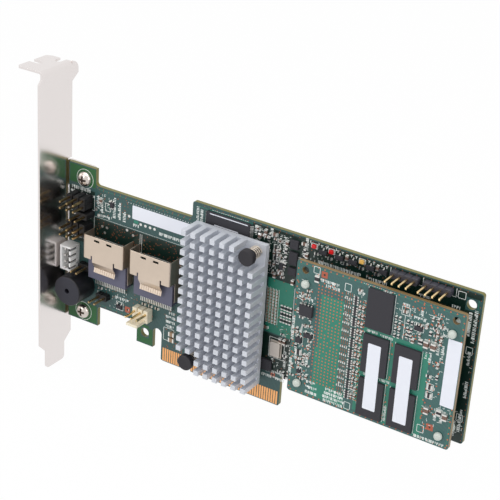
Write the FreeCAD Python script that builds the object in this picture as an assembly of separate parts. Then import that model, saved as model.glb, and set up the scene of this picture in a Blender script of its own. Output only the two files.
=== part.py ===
import FreeCAD, Part
import math
import os

V = FreeCAD.Vector

# Storage controller card for an eight-lane slot, all sizes in millimetres.
# Layout frame: x from the board's bracket-side edge, z from the lower ends of the edge contacts,
# y from the face that carries the parts, which stand towards -y. The finished shapes are moved so
# that the origin is the middle of the key slot, at the tongue's lower edge and in the board's middle.

# Main board
board_thickness = 1.57
board_top = 68.9
board_bottom = 12.4
corner_radius = 1.0
inner_radius = 1.2
lower_ear_width = 14.3
lower_ear_bottom = 4.0
recess_left = 12.6
recess_width = 43.1
recess_depth = 6.5
hanging_tab_left = 32.95
hanging_tab_width = 7.5
relief_width = 3.95
relief_top = 12.6
tongue_bottom = -0.4
bevel_height = 0.5
bevel_depth = 0.25

# Edge contacts
contact_pitch = 1.0
contact_width = 0.7
contact_top = 5.5
contact_thickness = 0.05
contacts_before_key = 11
contacts_after_key = 38
contact_end_margin = 1.1
contact_key_margin = 0.55
key_width = 1.9
key_depth = 8.65

# Holes in the main board
screw_clearance_radius = 1.6
screw_x = 7.45
upper_screw_drop = 5.2
lower_screw_rise = 4.3
corner_hole_radius = 1.75
corner_hole_inset = 3.75
corner_hole_drop = 4.8
hanging_hole_radius = 1.8
hanging_hole_rise = 4.95

# Bracket, one folded sheet
sheet = 0.86
sheet_bend = 0.6
bracket_gap = 0.8
bracket_front = 15.99
bracket_foot = 15.0
bracket_top = 106.7
foot_narrow_top = 7.5
foot_shoulder_front = 3.7
foot_shoulder_rear = 4.2
foot_inset_front = 3.65
foot_inset_rear = 3.95
foot_radius = 1.6
top_ear_reach = 5.9
top_ear_radius = 3.5
top_ear_low = 4.9
top_ear_slope = 2.6
top_chamfer_low = 4.5
top_chamfer_inset = 1.5
tab_length = 11.43
tab_corner = 1.2
tab_tip_rise = 1.0
tab_tip_run = 2.4
tab_notch_front = 8.0
tab_notch_width = 2.7
tab_notch_depth = 4.5
slot_near = 2.8
slot_width = 2.8
slot_bottom = 1.65
lug_length = 12.0
lug_height = 10.4
lug_relief = 0.6
tapped_radius = 1.35

# Bracket screws
screw_core_radius = 1.3
screw_head_radius = 2.95
screw_head_height = 2.0
screw_head_shape = ((0.45, 1.0), (0.78, 0.85), (1.0, 0.45))
screw_tip = 1.2
screw_sides = 12
cross_length = 3.2
cross_width = 0.75
cross_depth = 1.1

# Controller chip, pad and heatsink
chip_x = 74.35
chip_z = 35.5
chip_inside_sink = 1.5
chip_substrate = 1.1
chip_cap_inset = 2.0
chip_cap = 1.1
pad_thickness = 0.2
sink_width = 30.0
sink_height = 55.5
sink_base = 2.0
sink_pin = 1.95
sink_pin_length = 8.0
sink_columns = 8
sink_rows = 15

# Sprung push pins
push_inset_x = 3.6
push_inset_z = 3.0
push_head_radius = 3.05
push_head_height = 2.5
push_head_lift = 5.1
push_shaft_radius = 1.35
push_clearance = 0.15
barb_radius = 1.9
barb_tip_radius = 0.8
barb_length = 2.6
push_sides = 8
spring_radius = 2.0
spring_wire = 0.5
spring_turns = 4
spring_steps = 10

# Four-lane connectors
sas_x = 21.1
sas_spacing = 21.25
shell_width = 18.3
shell_sheet = 0.3
shell_reach = 6.6
shell_top = 45.1
shell_ear_bottom = 35.5
shell_wall_bottom = 27.6
shell_wall_reach = 2.9
shell_radius = 0.9
shell_peg_width = 0.9
shell_peg_past_board = 1.3
latch_width = 9.7
latch_notch = 0.6
latch_notch_rise = 1.5
latch_inset = 1.5
latch_bend_drop = 1.0
latch_slope = 2.6
latch_lip = 1.8
latch_lip_inset = 1.05
window_width = 2.4
window_height = 0.9
window_drop = 1.0
window_spacing = 5.6
body_reach = 3.8
body_bottom = 26.2
body_clearance = 0.3
body_front_inset = 0.2
blade_width = 12.4
blade_thickness = 1.2
blade_height = 5.0
tail_count = 18
tail_pitch = 0.8
tail_width = 0.3
tail_sheet = 0.25
tail_foot_bottom = 22.6
tail_foot_top = 23.3
tail_setback = 1.3

# Pin headers
pin_side = 0.64
pin_chamfer = 0.15
pin_hole_clearance = 0.06
pin_tail = 1.6
header_pitch = 2.54
header_block = 2.54
block_chamfer = 0.35
block_notch = 0.3
jumper_block_height = 5.0
jumper_pin_reach = 10.5
jumper_columns_x = (3.9, 7.0, 10.0)
upper_jumper_drop = 13.3
lower_jumper_drop = 24.0
middle_jumper_x = 8.4
middle_jumper_drop = 18.1
lamp_block_height = 2.54
lamp_pin_reach = 8.5
side_lamp_x = 7.6
side_lamp_z = 28.4
buzzer_lamp_x = 16.3
buzzer_lamp_z = 18.3
top_header_drop = 2.3
top_header_from_end = 31.15
top_header_gap = 1.74
top_header_count = 4

# White shrouded connector
wafer_left = 0.1
wafer_bottom = 26.45
wafer_width = 5.0
wafer_length = 10.1
wafer_height = 5.5
wafer_wall = 0.6
wafer_floor = 1.2
wafer_pin_count = 4
wafer_slot_width = 0.8
wafer_slot_depth = 4.3
wafer_chamfer = 1.9
wafer_pin_reach = 5.6

# Friction-lock connector for a fan
fan_left = 32.9
fan_bottom = 14.9
fan_margin = 0.95
fan_depth = 5.1
fan_base = 3.2
fan_wall = 1.1
fan_wall_reach = 8.4
fan_wall_margin = 1.0
fan_groove_width = 0.5
fan_groove_depth = 1.5
fan_pin_count = 3
fan_pin_rise = 3.5
fan_pin_reach = 9.0

# Buzzer
buzzer_x = 6.7
buzzer_z = 20.3
buzzer_radius = 6.0
buzzer_height = 9.5
buzzer_mouth_radius = 1.0
buzzer_mouth_depth = 0.6
buzzer_edge = 0.3
buzzer_pin_side = 0.6
buzzer_pin_spacing = 7.6

# Chips and small parts on the main board
lead_sheet = 0.15
lead_foot_share = 0.4
small_lead_reach = 0.6
small_lead_width = 0.4
label_to_flash = 3.1
flash_drop = 1.7
flash_width = 18.1
flash_height = 12.0
flash_thickness = 1.2
flash_leads_per_side = 20
flash_lead_pitch = 0.55
flash_lead_width = 0.22
flash_lead_reach = 1.0
crystal_width = 4.8
crystal_height = 6.5
crystal_base = 0.5
crystal_lid = 0.9
crystal_rim = 0.35
crystal_gap = 2.15
crystal_bottom = 19.45
clock_chip_side = 4.4
clock_chip_left = 88.4
clock_chip_bottom = 13.0
power_chip_from_sink = 8.75
power_chip_width = 3.2
power_chip_heights = (2.8, 4.8, 3.2)
power_chip_bottom = 53.4
power_chip_gap = 1.25
power_chip_thickness = 1.1
lamp_width = 1.5
lamp_depth = 1.2
lamp_height = 0.8
red_lamps_before_header = (31.0, 24.3)
yellow_lamp_before_header = 12.7
lamp_row_drop = 2.2
transistors_before_header = (27.3, 21.1, 15.9, 9.3, 4.5)
transistor_row_drop = 3.35
transistor_length = 2.9
transistor_width = 1.5
transistor_height = 1.0
transistor_lead_x = 0.8
capacitor_length = 2.4
capacitor_width = 1.6
capacitor_height = 1.2
tongue_capacitor_x = 49.4
tongue_capacitors_z = (10.5, 12.9)
filter_length = 1.0
filter_width = 0.5
filter_height = 0.5
filter_columns = (-0.25, 0.95, 2.15, 3.35)
filter_rows = 11
filter_pitch = 1.25
filter_bottom = 32.6
resistor_length = 1.6
resistor_width = 0.8
resistor_height = 0.5
array_length = 1.8
array_columns = (5.65, 6.85, 8.05, 9.25)
array_rows = 3
array_pitch = 2.5
array_bottom = 34.8
power_resistor_gap = 4.0
power_resistor_rise = 1.0
power_resistor_pitch = 2.3
power_resistor_count = 5
label_thickness = 0.1
main_label_left = 29.4
main_label_width = 29.6
main_label_height = 5.4
main_label_drop = 9.4

# Memory card on its four posts
card_gap = 6.0
card_thickness = 1.57
sink_to_card = 14.25
card_inset_right = 1.85
card_inset_top = 4.8
card_radius = 1.0
post_inset_left = 4.0
post_inset_right = 3.9
post_inset_top = 7.95
post_inset_bottom = 4.3
post_radius = 2.6
post_shaft_radius = 1.1
post_clearance = 0.1
post_snap_radius = 1.5
post_snap_length = 1.7
post_snap_shoulder = 0.6
post_snap_tip_radius = 0.6
post_sides = 8
plated_hole_radius = 1.4
plated_hole_drop = 3.05
plated_hole_inset_left = 3.4
plated_hole_inset_right = 3.25
mezzanine_width = 9.5
mezzanine_length = 38.0
mezzanine_left = 9.0
mezzanine_bottom = 6.0
mezzanine_split = 3.4
mezzanine_wall = 0.8
mezzanine_recess = 0.6
memory_width = 9.35
memory_height = 14.4
memory_thickness = 1.1
memory_column_left = 27.65
memory_column_gap = 2.3
memory_top = 1.3
memory_bottom_margin = 1.5
memory_right_margin = 13.55
memory_gap = 2.4
memory_label_width = 5.1
memory_label_inset = 2.1
memory_label_margins = ((3.15, 2.85), (2.35, 3.55))
card_label_width = 4.9
card_label_height = 25.0
card_label_drop = 10.1
card_label_inset = 0.2
eight_lead_x = 5.3
eight_lead_drop = 17.6
eight_lead_width = 4.9
eight_lead_height = 3.9
eight_lead_thickness = 1.4
eight_lead_pitch = 1.27
eight_lead_reach = 1.0
pack_left = 23.3
pack_rows = 10
pack_pitch = 4.0
pack_width = 1.9
pack_height = 3.7
pack_thickness = 0.5
pack_bottom = 7.0
upper_card_capacitors = (1.35, 3.95)
upper_card_capacitors_drop = 14.6
lower_card_capacitors = (4.4, 11.1)
lower_card_capacitors_rise = 12.3

# Places worked out from the sizes above
hanging_tab_right = hanging_tab_left + hanging_tab_width
tongue_left = hanging_tab_right + relief_width
key_left = tongue_left + contact_end_margin + (contacts_before_key - 1) * contact_pitch \
    + contact_key_margin
key_x = key_left + key_width / 2
tongue_right = key_left + key_width + contact_key_margin \
    + (contacts_after_key - 1) * contact_pitch + contact_end_margin
recess_bottom = board_top - recess_depth
recess_right = recess_left + recess_width
upper_screw_z = board_top - upper_screw_drop
lower_screw_z = lower_ear_bottom + lower_screw_rise
hanging_hole = (hanging_tab_left + hanging_tab_width / 2, lower_ear_bottom + hanging_hole_rise)
inner_face = -bracket_gap
outer_face = inner_face - sheet
plate_rear = board_thickness + sheet
chip_height = chip_substrate + chip_cap + pad_thickness
chip_side = sink_width - 2 * chip_inside_sink
chip_cap_side = chip_side - 2 * chip_cap_inset
sink_left = chip_x - sink_width / 2
sink_right = chip_x + sink_width / 2
sink_bottom = chip_z - sink_height / 2
sink_face = chip_height + sink_base
push_places = ((sink_left + push_inset_x, sink_bottom + push_inset_z),
               (sink_right - push_inset_x, sink_bottom + sink_height - push_inset_z))
push_hole_radius = push_shaft_radius + push_clearance
card_left = sink_right + sink_to_card
memory_right = card_left + memory_column_left + 2 * memory_width + memory_column_gap
card_right = memory_right + memory_right_margin
board_length = card_right + card_inset_right
corner_hole = (board_length - corner_hole_inset, board_top - corner_hole_drop)
card_top = board_top - card_inset_top
card_bottom = card_top - memory_top - 3 * memory_height - 2 * memory_gap - memory_bottom_margin
card_face = card_gap + card_thickness
power_chip_x = sink_right + power_chip_from_sink
flash_left = main_label_left + main_label_width + label_to_flash
top_header_x = board_length - top_header_from_end
post_places = [(x, z) for x in (card_left + post_inset_left, card_right - post_inset_right)
               for z in (card_bottom + post_inset_bottom, card_top - post_inset_top)]
post_hole_radius = post_shaft_radius + post_clearance
sas_centres = (sas_x, sas_x + sas_spacing)


def box(x, y, z):
    """A block between the two values of each range."""
    return Part.makeBox(x[1] - x[0], y[1] - y[0], z[1] - z[0], V(x[0], y[0], z[0]))


def in_xz(y):
    """Places a flat point (u, v) at x = u, z = v on the plane of the given y."""
    return lambda u, v: V(u, y, v)


def in_yz(x):
    """Places a flat point (u, v) at y = u, z = v on the plane of the given x."""
    return lambda u, v: V(x, u, v)


def in_xy(z):
    """Places a flat point (u, v) at x = u, y = v on the plane of the given z."""
    return lambda u, v: V(u, v, z)


def outline(corners, place):
    """A flat face through corners (u, v, radius), each rounded by its own radius."""
    count = len(corners)
    stations = []
    for i in range(count):
        here = V(corners[i][0], corners[i][1], 0)
        before = V(corners[i - 1][0], corners[i - 1][1], 0)
        after = V(corners[(i + 1) % count][0], corners[(i + 1) % count][1], 0)
        radius = corners[i][2]
        if radius <= 0:
            stations.append((here, None, here))
            continue
        towards = (before - here).normalize()
        onwards = (after - here).normalize()
        half = towards.getAngle(onwards) / 2
        setback = radius / math.tan(half)
        middle = (towards + onwards).normalize()
        centre = here + middle * (radius / math.sin(half))
        stations.append((here + towards * setback, centre - middle * radius, here + onwards * setback))
    edges = []
    for i in range(count):
        first, middle, last = stations[i]
        if middle is not None:
            arc = Part.Arc(place(first.x, first.y), place(middle.x, middle.y), place(last.x, last.y))
            edges.append(arc.toShape())
        following = stations[(i + 1) % count][0]
        if last.distanceToPoint(following) > 1e-6:
            edges.append(Part.makeLine(place(last.x, last.y), place(following.x, following.y)))
    return Part.Face(Part.Wire(edges))


def round_bar(x, z, y, radius):
    """A cylinder along y, between the two values of the range y."""
    return Part.makeCylinder(radius, y[1] - y[0], V(x, y[0], z), V(0, 1, 0))


def faceted(profile, x, z, sides):
    """A many-sided solid about the line through (x, z) along y, from (radius, y) points."""
    def ring(radius, y):
        angles = [2 * math.pi * i / sides for i in range(sides + 1)]
        return [V(x + radius * math.cos(a), y, z + radius * math.sin(a)) for a in angles]

    faces = []
    for (r0, y0), (r1, y1) in zip(profile, profile[1:]):
        if y0 == y1:
            wires = [Part.makePolygon(ring(r, y0)) for r in sorted((r0, r1), reverse=True) if r > 0]
            disc = Part.Face(wires[0])
            faces.append(disc if len(wires) == 1 else disc.cut(Part.Face(wires[1])).Faces[0])
            continue
        first, second = ring(r0, y0), ring(r1, y1)
        for i in range(sides):
            corners = [first[i], first[i + 1], second[i + 1], second[i]]
            faces.append(Part.Face(Part.makePolygon(corners + corners[:1])))
    solid = Part.Solid(Part.Shell(faces))
    if solid.Volume < 0:
        solid.reverse()
    return solid


def bored(x, z, y, radius, sides):
    """A many-sided bar along y, for the hole of a many-sided post or pin."""
    return faceted([(0, y[0]), (radius, y[0]), (radius, y[1]), (0, y[1])], x, z, sides)


def turned(profile, x, z):
    """A solid turned about the line through (x, z) along y, from (radius, y) points."""
    points = [V(x + r, y, z) for r, y in profile]
    face = Part.Face(Part.makePolygon(points + points[:1]))
    return face.revolve(V(x, 0, z), V(0, 1, 0), 360)


def square_pin(x, z, y):
    """A square wire along y with its free front end chamfered."""
    half = pin_side / 2
    pin = box((x - half, x + half), y, (z - half, z + half))
    ends = [edge for edge in pin.Edges if edge.BoundBox.YMax < y[0] + pin_chamfer]
    return pin.makeChamfer(pin_chamfer, ends)


def pin_row(x, z, count, across, reach):
    """Pins in one row, along x if across is true and along z if not."""
    step = (header_pitch, 0) if across else (0, header_pitch)
    span = (-reach, board_thickness + pin_tail)
    return [square_pin(x + i * step[0], z + i * step[1], span) for i in range(count)]


def header_body(x, z, count, across, height):
    """A header's plastic: chamfered corners, a notch between two pins, a square hole for each pin."""
    half, cut = header_block / 2, block_chamfer
    last = (count - 1) * header_pitch + half
    lower = [(-half, -half + cut), (-half + cut, -half)]
    for i in range(1, count):
        middle = (i - 0.5) * header_pitch
        lower += [(middle - block_notch, -half), (middle, -half + block_notch),
                  (middle + block_notch, -half)]
    lower += [(last - cut, -half), (last, -half + cut)]
    ring = lower + [(a, -b) for a, b in reversed(lower)]
    points = [V(x + a, 0, z + b) if across else V(x + b, 0, z + a) for a, b in ring]
    body = Part.Face(Part.makePolygon(points + points[:1])).extrude(V(0, -height, 0))
    hole = pin_side / 2
    for i in range(count):
        px = x + (i * header_pitch if across else 0)
        pz = z + (0 if across else i * header_pitch)
        body = body.cut(box((px - hole, px + hole), (-height, 0), (pz - hole, pz + hole)))
    return body


# Every header as (x and z of its first pin, pins, along x, block height, pin reach)
half_pitch = header_pitch / 2
jumper_headers = [(x, board_top - drop - half_pitch, 2, False, jumper_block_height, jumper_pin_reach)
                  for drop in (upper_jumper_drop, lower_jumper_drop) for x in jumper_columns_x]
jumper_headers.append((middle_jumper_x, board_top - middle_jumper_drop, 2, True,
                       jumper_block_height, jumper_pin_reach))
lamp_headers = [(side_lamp_x, side_lamp_z, 2, True, lamp_block_height, lamp_pin_reach),
                (buzzer_lamp_x, buzzer_lamp_z, 2, True, lamp_block_height, lamp_pin_reach)]
top_header_step = top_header_count * header_pitch + top_header_gap
top_headers = [(top_header_x + i * top_header_step, board_top - top_header_drop,
                top_header_count, True, lamp_block_height, lamp_pin_reach) for i in range(2)]
wafer_x = wafer_left + wafer_width / 2
wafer_z = wafer_bottom + (wafer_length - (wafer_pin_count - 1) * header_pitch) / 2
fan_x = fan_left + fan_margin
fan_z = fan_bottom + fan_pin_rise


def header_pin_places():
    """The (x, z) of each square pin that passes through the main board."""
    places = []
    for x, z, count, across, height, reach in jumper_headers + lamp_headers + top_headers:
        for i in range(count):
            step = i * header_pitch
            places.append((x + (step if across else 0), z + (0 if across else step)))
    places += [(wafer_x, wafer_z + i * header_pitch) for i in range(wafer_pin_count)]
    places += [(fan_x + i * header_pitch, fan_z) for i in range(fan_pin_count)]
    return places


def shell_peg_places():
    """The (x, z) of each shell peg: two on each side wall."""
    reach = shell_width / 2 - shell_sheet / 2
    heights = (shell_wall_bottom + shell_peg_width, shell_top - 2 * shell_peg_width)
    return [(centre + side * reach, z) for centre in sas_centres for side in (-1, 1) for z in heights]


def buzzer_pin_places():
    """The (x, z) of the buzzer's two pins."""
    return [(buzzer_x, buzzer_z + side * buzzer_pin_spacing / 2) for side in (-1, 1)]


def main_board():
    """The board's outline with its ears, hanging tab and tongue, then bevel, key and holes."""
    relief = relief_width / 2
    corners = [
        (0, lower_ear_bottom, 0), (lower_ear_width, lower_ear_bottom, 0),
        (lower_ear_width, board_bottom, inner_radius), (hanging_tab_left, board_bottom, inner_radius),
        (hanging_tab_left, lower_ear_bottom, 0), (hanging_tab_right, lower_ear_bottom, 0),
        (hanging_tab_right, relief_top, relief), (tongue_left, relief_top, relief),
        (tongue_left, tongue_bottom, corner_radius), (tongue_right, tongue_bottom, corner_radius),
        (tongue_right, board_bottom, inner_radius), (board_length, board_bottom, corner_radius),
        (board_length, board_top, corner_radius), (recess_right, board_top, corner_radius),
        (recess_right, recess_bottom, inner_radius), (recess_left, recess_bottom, inner_radius),
        (recess_left, board_top, 0), (0, board_top, 0)]
    board = outline(corners, in_xz(0)).extrude(V(0, board_thickness, 0))
    for face, inward in ((0, 1), (board_thickness, -1)):
        wedge = [V(tongue_left, face, tongue_bottom), V(tongue_left, face, tongue_bottom + bevel_height),
                 V(tongue_left, face + inward * bevel_depth, tongue_bottom)]
        bevel = Part.Face(Part.makePolygon(wedge + wedge[:1])).extrude(V(tongue_right - tongue_left, 0, 0))
        board = board.cut(bevel)
    key_top = tongue_bottom + key_depth - key_width / 2
    through = (0, board_thickness)
    cuts = [box((key_left, key_left + key_width), through, (tongue_bottom, key_top)),
            round_bar(key_x, key_top, through, key_width / 2)]
    holes = [(screw_x, z, screw_clearance_radius) for z in (upper_screw_z, lower_screw_z)]
    holes += [corner_hole + (corner_hole_radius,), hanging_hole + (hanging_hole_radius,)]
    cuts += [round_bar(x, z, through, radius) for x, z, radius in holes]
    cuts += [bored(x, z, through, push_hole_radius, push_sides) for x, z in push_places]
    cuts += [bored(x, z, through, post_hole_radius, post_sides) for x, z in post_places]
    slots = [(x, z, pin_side, pin_side) for x, z in header_pin_places()]
    slots += [(x, z, buzzer_pin_side, buzzer_pin_side) for x, z in buzzer_pin_places()]
    slots += [(x, z, shell_sheet, shell_peg_width) for x, z in shell_peg_places()]
    for x, z, wide, high in slots:
        half_x, half_z = wide / 2 + pin_hole_clearance, high / 2 + pin_hole_clearance
        cuts.append(box((x - half_x, x + half_x), through, (z - half_z, z + half_z)))
    return board.cut(Part.makeCompound(cuts))


def edge_contacts():
    """Gilded strips on both faces of the tongue, in two groups beside the key slot."""
    firsts = [(tongue_left + contact_end_margin, contacts_before_key),
              (key_left + key_width + contact_key_margin, contacts_after_key)]
    bottom = tongue_bottom + bevel_height
    strips = []
    for first, count in firsts:
        for i in range(count):
            x = first + i * contact_pitch
            across = (x - contact_width / 2, x + contact_width / 2)
            strips.append(box(across, (-contact_thickness, 0), (bottom, contact_top)))
            rear = (board_thickness, board_thickness + contact_thickness)
            strips.append(box(across, rear, (bottom, contact_top)))
    return Part.makeCompound(strips)


def bracket_lug(centre):
    """A lug folded from the plate's rear edge onto the board's rear face, with its tapped hole."""
    low, high = centre - lug_height / 2, centre + lug_height / 2
    bend_x, bend_y = inner_face + sheet_bend, board_thickness - sheet_bend
    outer = Part.makeCylinder(sheet_bend + sheet, lug_height, V(bend_x, bend_y, low))
    inner = Part.makeCylinder(sheet_bend, lug_height, V(bend_x, bend_y, low))
    quarter = box((outer_face, bend_x), (bend_y, plate_rear), (low, high))
    fold = outer.cut(inner).common(quarter)
    tip = inner_face + lug_length
    corners = [(bend_x, low, 0), (tip, low, corner_radius), (tip, high, corner_radius), (bend_x, high, 0)]
    flat = outline(corners, in_xz(board_thickness)).extrude(V(0, sheet, 0))
    hole = round_bar(screw_x, centre, (board_thickness, plate_rear), tapped_radius)
    return fold.fuse(flat).cut(hole)


def bracket():
    """One sheet: the plate, the slotted tab folded outwards on top and two lugs to the board."""
    fold_z = bracket_top - sheet_bend - sheet
    ear_root = top_ear_reach - top_ear_radius
    tab_front = -bracket_front + top_chamfer_inset
    foot_front = -bracket_front + foot_inset_front
    foot_rear = plate_rear - foot_inset_rear
    corners = [
        (-bracket_front, -foot_shoulder_front, 0), (foot_front, -foot_narrow_top, 0),
        (foot_front, -bracket_foot, foot_radius), (foot_rear, -bracket_foot, foot_radius),
        (foot_rear, -foot_narrow_top, 0), (plate_rear, -foot_shoulder_rear, 0),
        (plate_rear, bracket_top - top_ear_low - top_ear_slope, 0),
        (top_ear_reach, bracket_top - top_ear_low, 0), (top_ear_reach, bracket_top, top_ear_radius),
        (ear_root, bracket_top, 0), (ear_root, fold_z, 0), (tab_front, fold_z, 0),
        (tab_front, bracket_top - top_chamfer_low + top_chamfer_inset, 0),
        (-bracket_front, bracket_top - top_chamfer_low, 0)]
    plate = outline(corners, in_yz(outer_face)).extrude(V(sheet, 0, 0))
    bend_x = outer_face - sheet_bend
    width = ear_root - tab_front
    outer = Part.makeCylinder(sheet_bend + sheet, width, V(bend_x, tab_front, fold_z), V(0, 1, 0))
    inner = Part.makeCylinder(sheet_bend, width, V(bend_x, tab_front, fold_z), V(0, 1, 0))
    quarter = box((bend_x, inner_face), (tab_front, ear_root), (fold_z, bracket_top))
    fold = outer.cut(inner).common(quarter)
    tab_end = inner_face - tab_length
    notch_x = tab_end + tab_notch_depth
    notch_rear = -tab_notch_front + tab_notch_width
    slot_x = (inner_face - slot_near - slot_width, inner_face - slot_near)
    half_notch, half_slot = tab_notch_width / 2, slot_width / 2
    tab_corners = [
        (bend_x, tab_front, 0), (tab_end, tab_front, tab_corner), (tab_end, -tab_notch_front, 0),
        (notch_x, -tab_notch_front, half_notch), (notch_x, notch_rear, half_notch),
        (tab_end, notch_rear, 0), (tab_end, ear_root - tab_tip_rise, tab_corner),
        (tab_end + tab_tip_run, ear_root, 0), (slot_x[0], ear_root, 0),
        (slot_x[0], -slot_bottom, half_slot), (slot_x[1], -slot_bottom, half_slot),
        (slot_x[1], ear_root, 0), (bend_x, ear_root, 0)]
    tab = outline(tab_corners, in_xy(bracket_top - sheet)).extrude(V(0, 0, sheet))
    sheet_metal = plate.multiFuse([fold, tab])
    for centre in (lower_screw_z, upper_screw_z):
        low, high = centre - lug_height / 2, centre + lug_height / 2
        window_front = board_thickness - sheet_bend
        cuts = [box((outer_face, inner_face), (window_front, plate_rear), (low, high))]
        cuts += [box((outer_face, inner_face), (window_front - lug_relief, plate_rear), span)
                 for span in ((low - lug_relief, low), (high, high + lug_relief))]
        sheet_metal = sheet_metal.cut(Part.makeCompound(cuts)).fuse(bracket_lug(centre))
    return sheet_metal.removeSplitter()


def bracket_screws():
    """Two pan-head screws with a cross recess, from the component side into the lugs."""
    screws = []
    for z in (lower_screw_z, upper_screw_z):
        rise, wide = screw_head_height, screw_head_radius
        tip = plate_rear + screw_tip
        dome = [(wide * across, -rise * up) for across, up in screw_head_shape]
        shank = [(wide, 0), (screw_core_radius, 0), (screw_core_radius, tip), (0, tip)]
        profile = [(0, -rise)] + dome + shank
        screw = faceted(profile, screw_x, z, screw_sides)
        long, narrow = cross_length / 2, cross_width / 2
        depth = (-rise, -rise + cross_depth)
        cross = box((screw_x - long, screw_x + long), depth, (z - narrow, z + narrow)).fuse(
            box((screw_x - narrow, screw_x + narrow), depth, (z - long, z + long)))
        screws.append(screw.cut(cross))
    return Part.makeCompound(screws)


def heatsink():
    """A block cut crosswise into pins on a base, with two corners cleared for the push pins."""
    top = sink_face + sink_pin_length
    x_end, z_end = sink_right, sink_bottom + sink_height
    block = box((sink_left, x_end), (-top, -chip_height), (sink_bottom, z_end))
    pitch_x = (sink_width - sink_pin) / (sink_columns - 1)
    pitch_z = (sink_height - sink_pin) / (sink_rows - 1)
    air = (-top, -sink_face)
    cuts = []
    for i in range(sink_columns - 1):
        x = sink_left + i * pitch_x + sink_pin
        cuts.append(box((x, x + pitch_x - sink_pin), air, (sink_bottom, z_end)))
    for i in range(sink_rows - 1):
        z = sink_bottom + i * pitch_z + sink_pin
        cuts.append(box((sink_left, x_end), air, (z, z + pitch_z - sink_pin)))
    clear_x, clear_z = pitch_x + sink_pin, pitch_z + sink_pin
    cuts.append(box((sink_left, sink_left + clear_x), air, (sink_bottom, sink_bottom + clear_z)))
    cuts.append(box((x_end - clear_x, x_end), air, (z_end - clear_z, z_end)))
    sink = block
    for cut in cuts:
        sink = sink.cut(cut)
    for x, z in push_places:
        sink = sink.cut(bored(x, z, (-sink_face, -chip_height), push_hole_radius, push_sides))
    return sink.removeSplitter()


def push_pins():
    """Nylon pins: a head, a shaft through sink and board, and a barb behind the board."""
    pins = []
    head_under = sink_face + push_head_lift
    head_top = head_under + push_head_height
    barb_y = board_thickness + push_clearance
    for x, z in push_places:
        head = round_bar(x, z, (-head_top, -head_under), push_head_radius)
        profile = [(0, -head_under), (push_shaft_radius, -head_under), (push_shaft_radius, barb_y),
                   (barb_radius, barb_y), (barb_tip_radius, barb_y + barb_length),
                   (0, barb_y + barb_length)]
        pins.append(head.fuse(faceted(profile, x, z, push_sides)))
    return Part.makeCompound(pins)


def push_pin_springs():
    """Coil springs between the heatsink's base and the push pins' heads."""
    half = spring_wire / 2
    steps = spring_turns * spring_steps
    rise = (push_head_lift - spring_wire) / steps
    springs = []
    for x, z in push_places:
        sections = []
        for i in range(steps + 1):
            angle = 2 * math.pi * i / spring_steps
            y = -sink_face - half - i * rise
            sections.append([V(x + (spring_radius + a) * math.cos(angle), y + b,
                               z + (spring_radius + a) * math.sin(angle))
                             for a, b in ((-half, -half), (half, -half), (half, half), (-half, half))])
        faces = [Part.Face(Part.makePolygon(end + end[:1])) for end in (sections[0], sections[-1])]
        for first, second in zip(sections, sections[1:]):
            for i in range(4):
                j = (i + 1) % 4
                for corners in ((first[i], first[j], second[j]), (first[i], second[j], second[i])):
                    faces.append(Part.Face(Part.makePolygon(corners + corners[:1])))
        coil = Part.Solid(Part.Shell(faces))
        if coil.Volume < 0:
            coil.reverse()
        springs.append(coil)
    return Part.makeCompound(springs)


def controller_chip():
    """Ball-grid package: a square substrate with a smaller cap."""
    half, cap = chip_side / 2, chip_cap_side / 2
    base = box((chip_x - half, chip_x + half), (-chip_substrate, 0), (chip_z - half, chip_z + half))
    top = box((chip_x - cap, chip_x + cap), (-chip_substrate - chip_cap, -chip_substrate),
              (chip_z - cap, chip_z + cap))
    return base.fuse(top)


def thermal_pad():
    cap = chip_cap_side / 2
    return box((chip_x - cap, chip_x + cap), (-chip_height, -chip_height + pad_thickness),
               (chip_z - cap, chip_z + cap))


def mini_sas_shell(centre):
    """A folded metal shell open upwards, with latch windows and a sprung latch tongue."""
    half = shell_width / 2
    inner = half - shell_sheet
    span = V(0, 0, shell_top - shell_wall_bottom)
    skin = outline([(centre - half, 0, 0), (centre - half, -shell_reach, shell_radius),
                    (centre + half, -shell_reach, shell_radius), (centre + half, 0, 0)],
                   in_xy(shell_wall_bottom)).extrude(span)
    depth, bend = shell_sheet - shell_reach, shell_radius - shell_sheet
    inside = outline([(centre - inner, 0, 0), (centre - inner, depth, bend), (centre + inner, depth, bend),
                      (centre + inner, 0, 0)], in_xy(shell_wall_bottom)).extrude(span)
    shell = skin.cut(inside)
    front = (-shell_reach, -shell_reach + shell_sheet)
    cuts = [box((centre - half, centre + half), (-shell_reach, -shell_wall_reach),
                (shell_wall_bottom, shell_ear_bottom))]
    for side in (-1, 1):
        edge = centre + side * latch_width / 2
        notch = sorted((edge, edge + side * latch_notch))
        cuts.append(box(notch, front, (shell_ear_bottom, shell_ear_bottom + latch_notch_rise)))
        middle = centre + side * window_spacing / 2
        cuts.append(box((middle - window_width / 2, middle + window_width / 2), front,
                        (shell_top - window_drop - window_height, shell_top - window_drop)))
    shell = shell.cut(Part.makeCompound(cuts))
    bend_z = shell_ear_bottom - latch_bend_drop
    outside = [(-shell_reach, shell_ear_bottom), (-shell_reach, bend_z),
               (-shell_reach + latch_inset, bend_z - latch_slope),
               (-shell_reach + latch_lip_inset, bend_z - latch_slope - latch_lip)]
    strip = outside + [(y + shell_sheet, z) for y, z in reversed(outside)]
    points = [V(centre - latch_width / 2, y, z) for y, z in strip]
    latch = Part.Face(Part.makePolygon(points + points[:1])).extrude(V(latch_width, 0, 0))
    pegs = [box((x - shell_sheet / 2, x + shell_sheet / 2), (0, board_thickness + shell_peg_past_board),
                (z - shell_peg_width / 2, z + shell_peg_width / 2))
            for x, z in shell_peg_places() if abs(x - centre) < half]
    return shell.multiFuse([latch] + pegs).removeSplitter()


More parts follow.
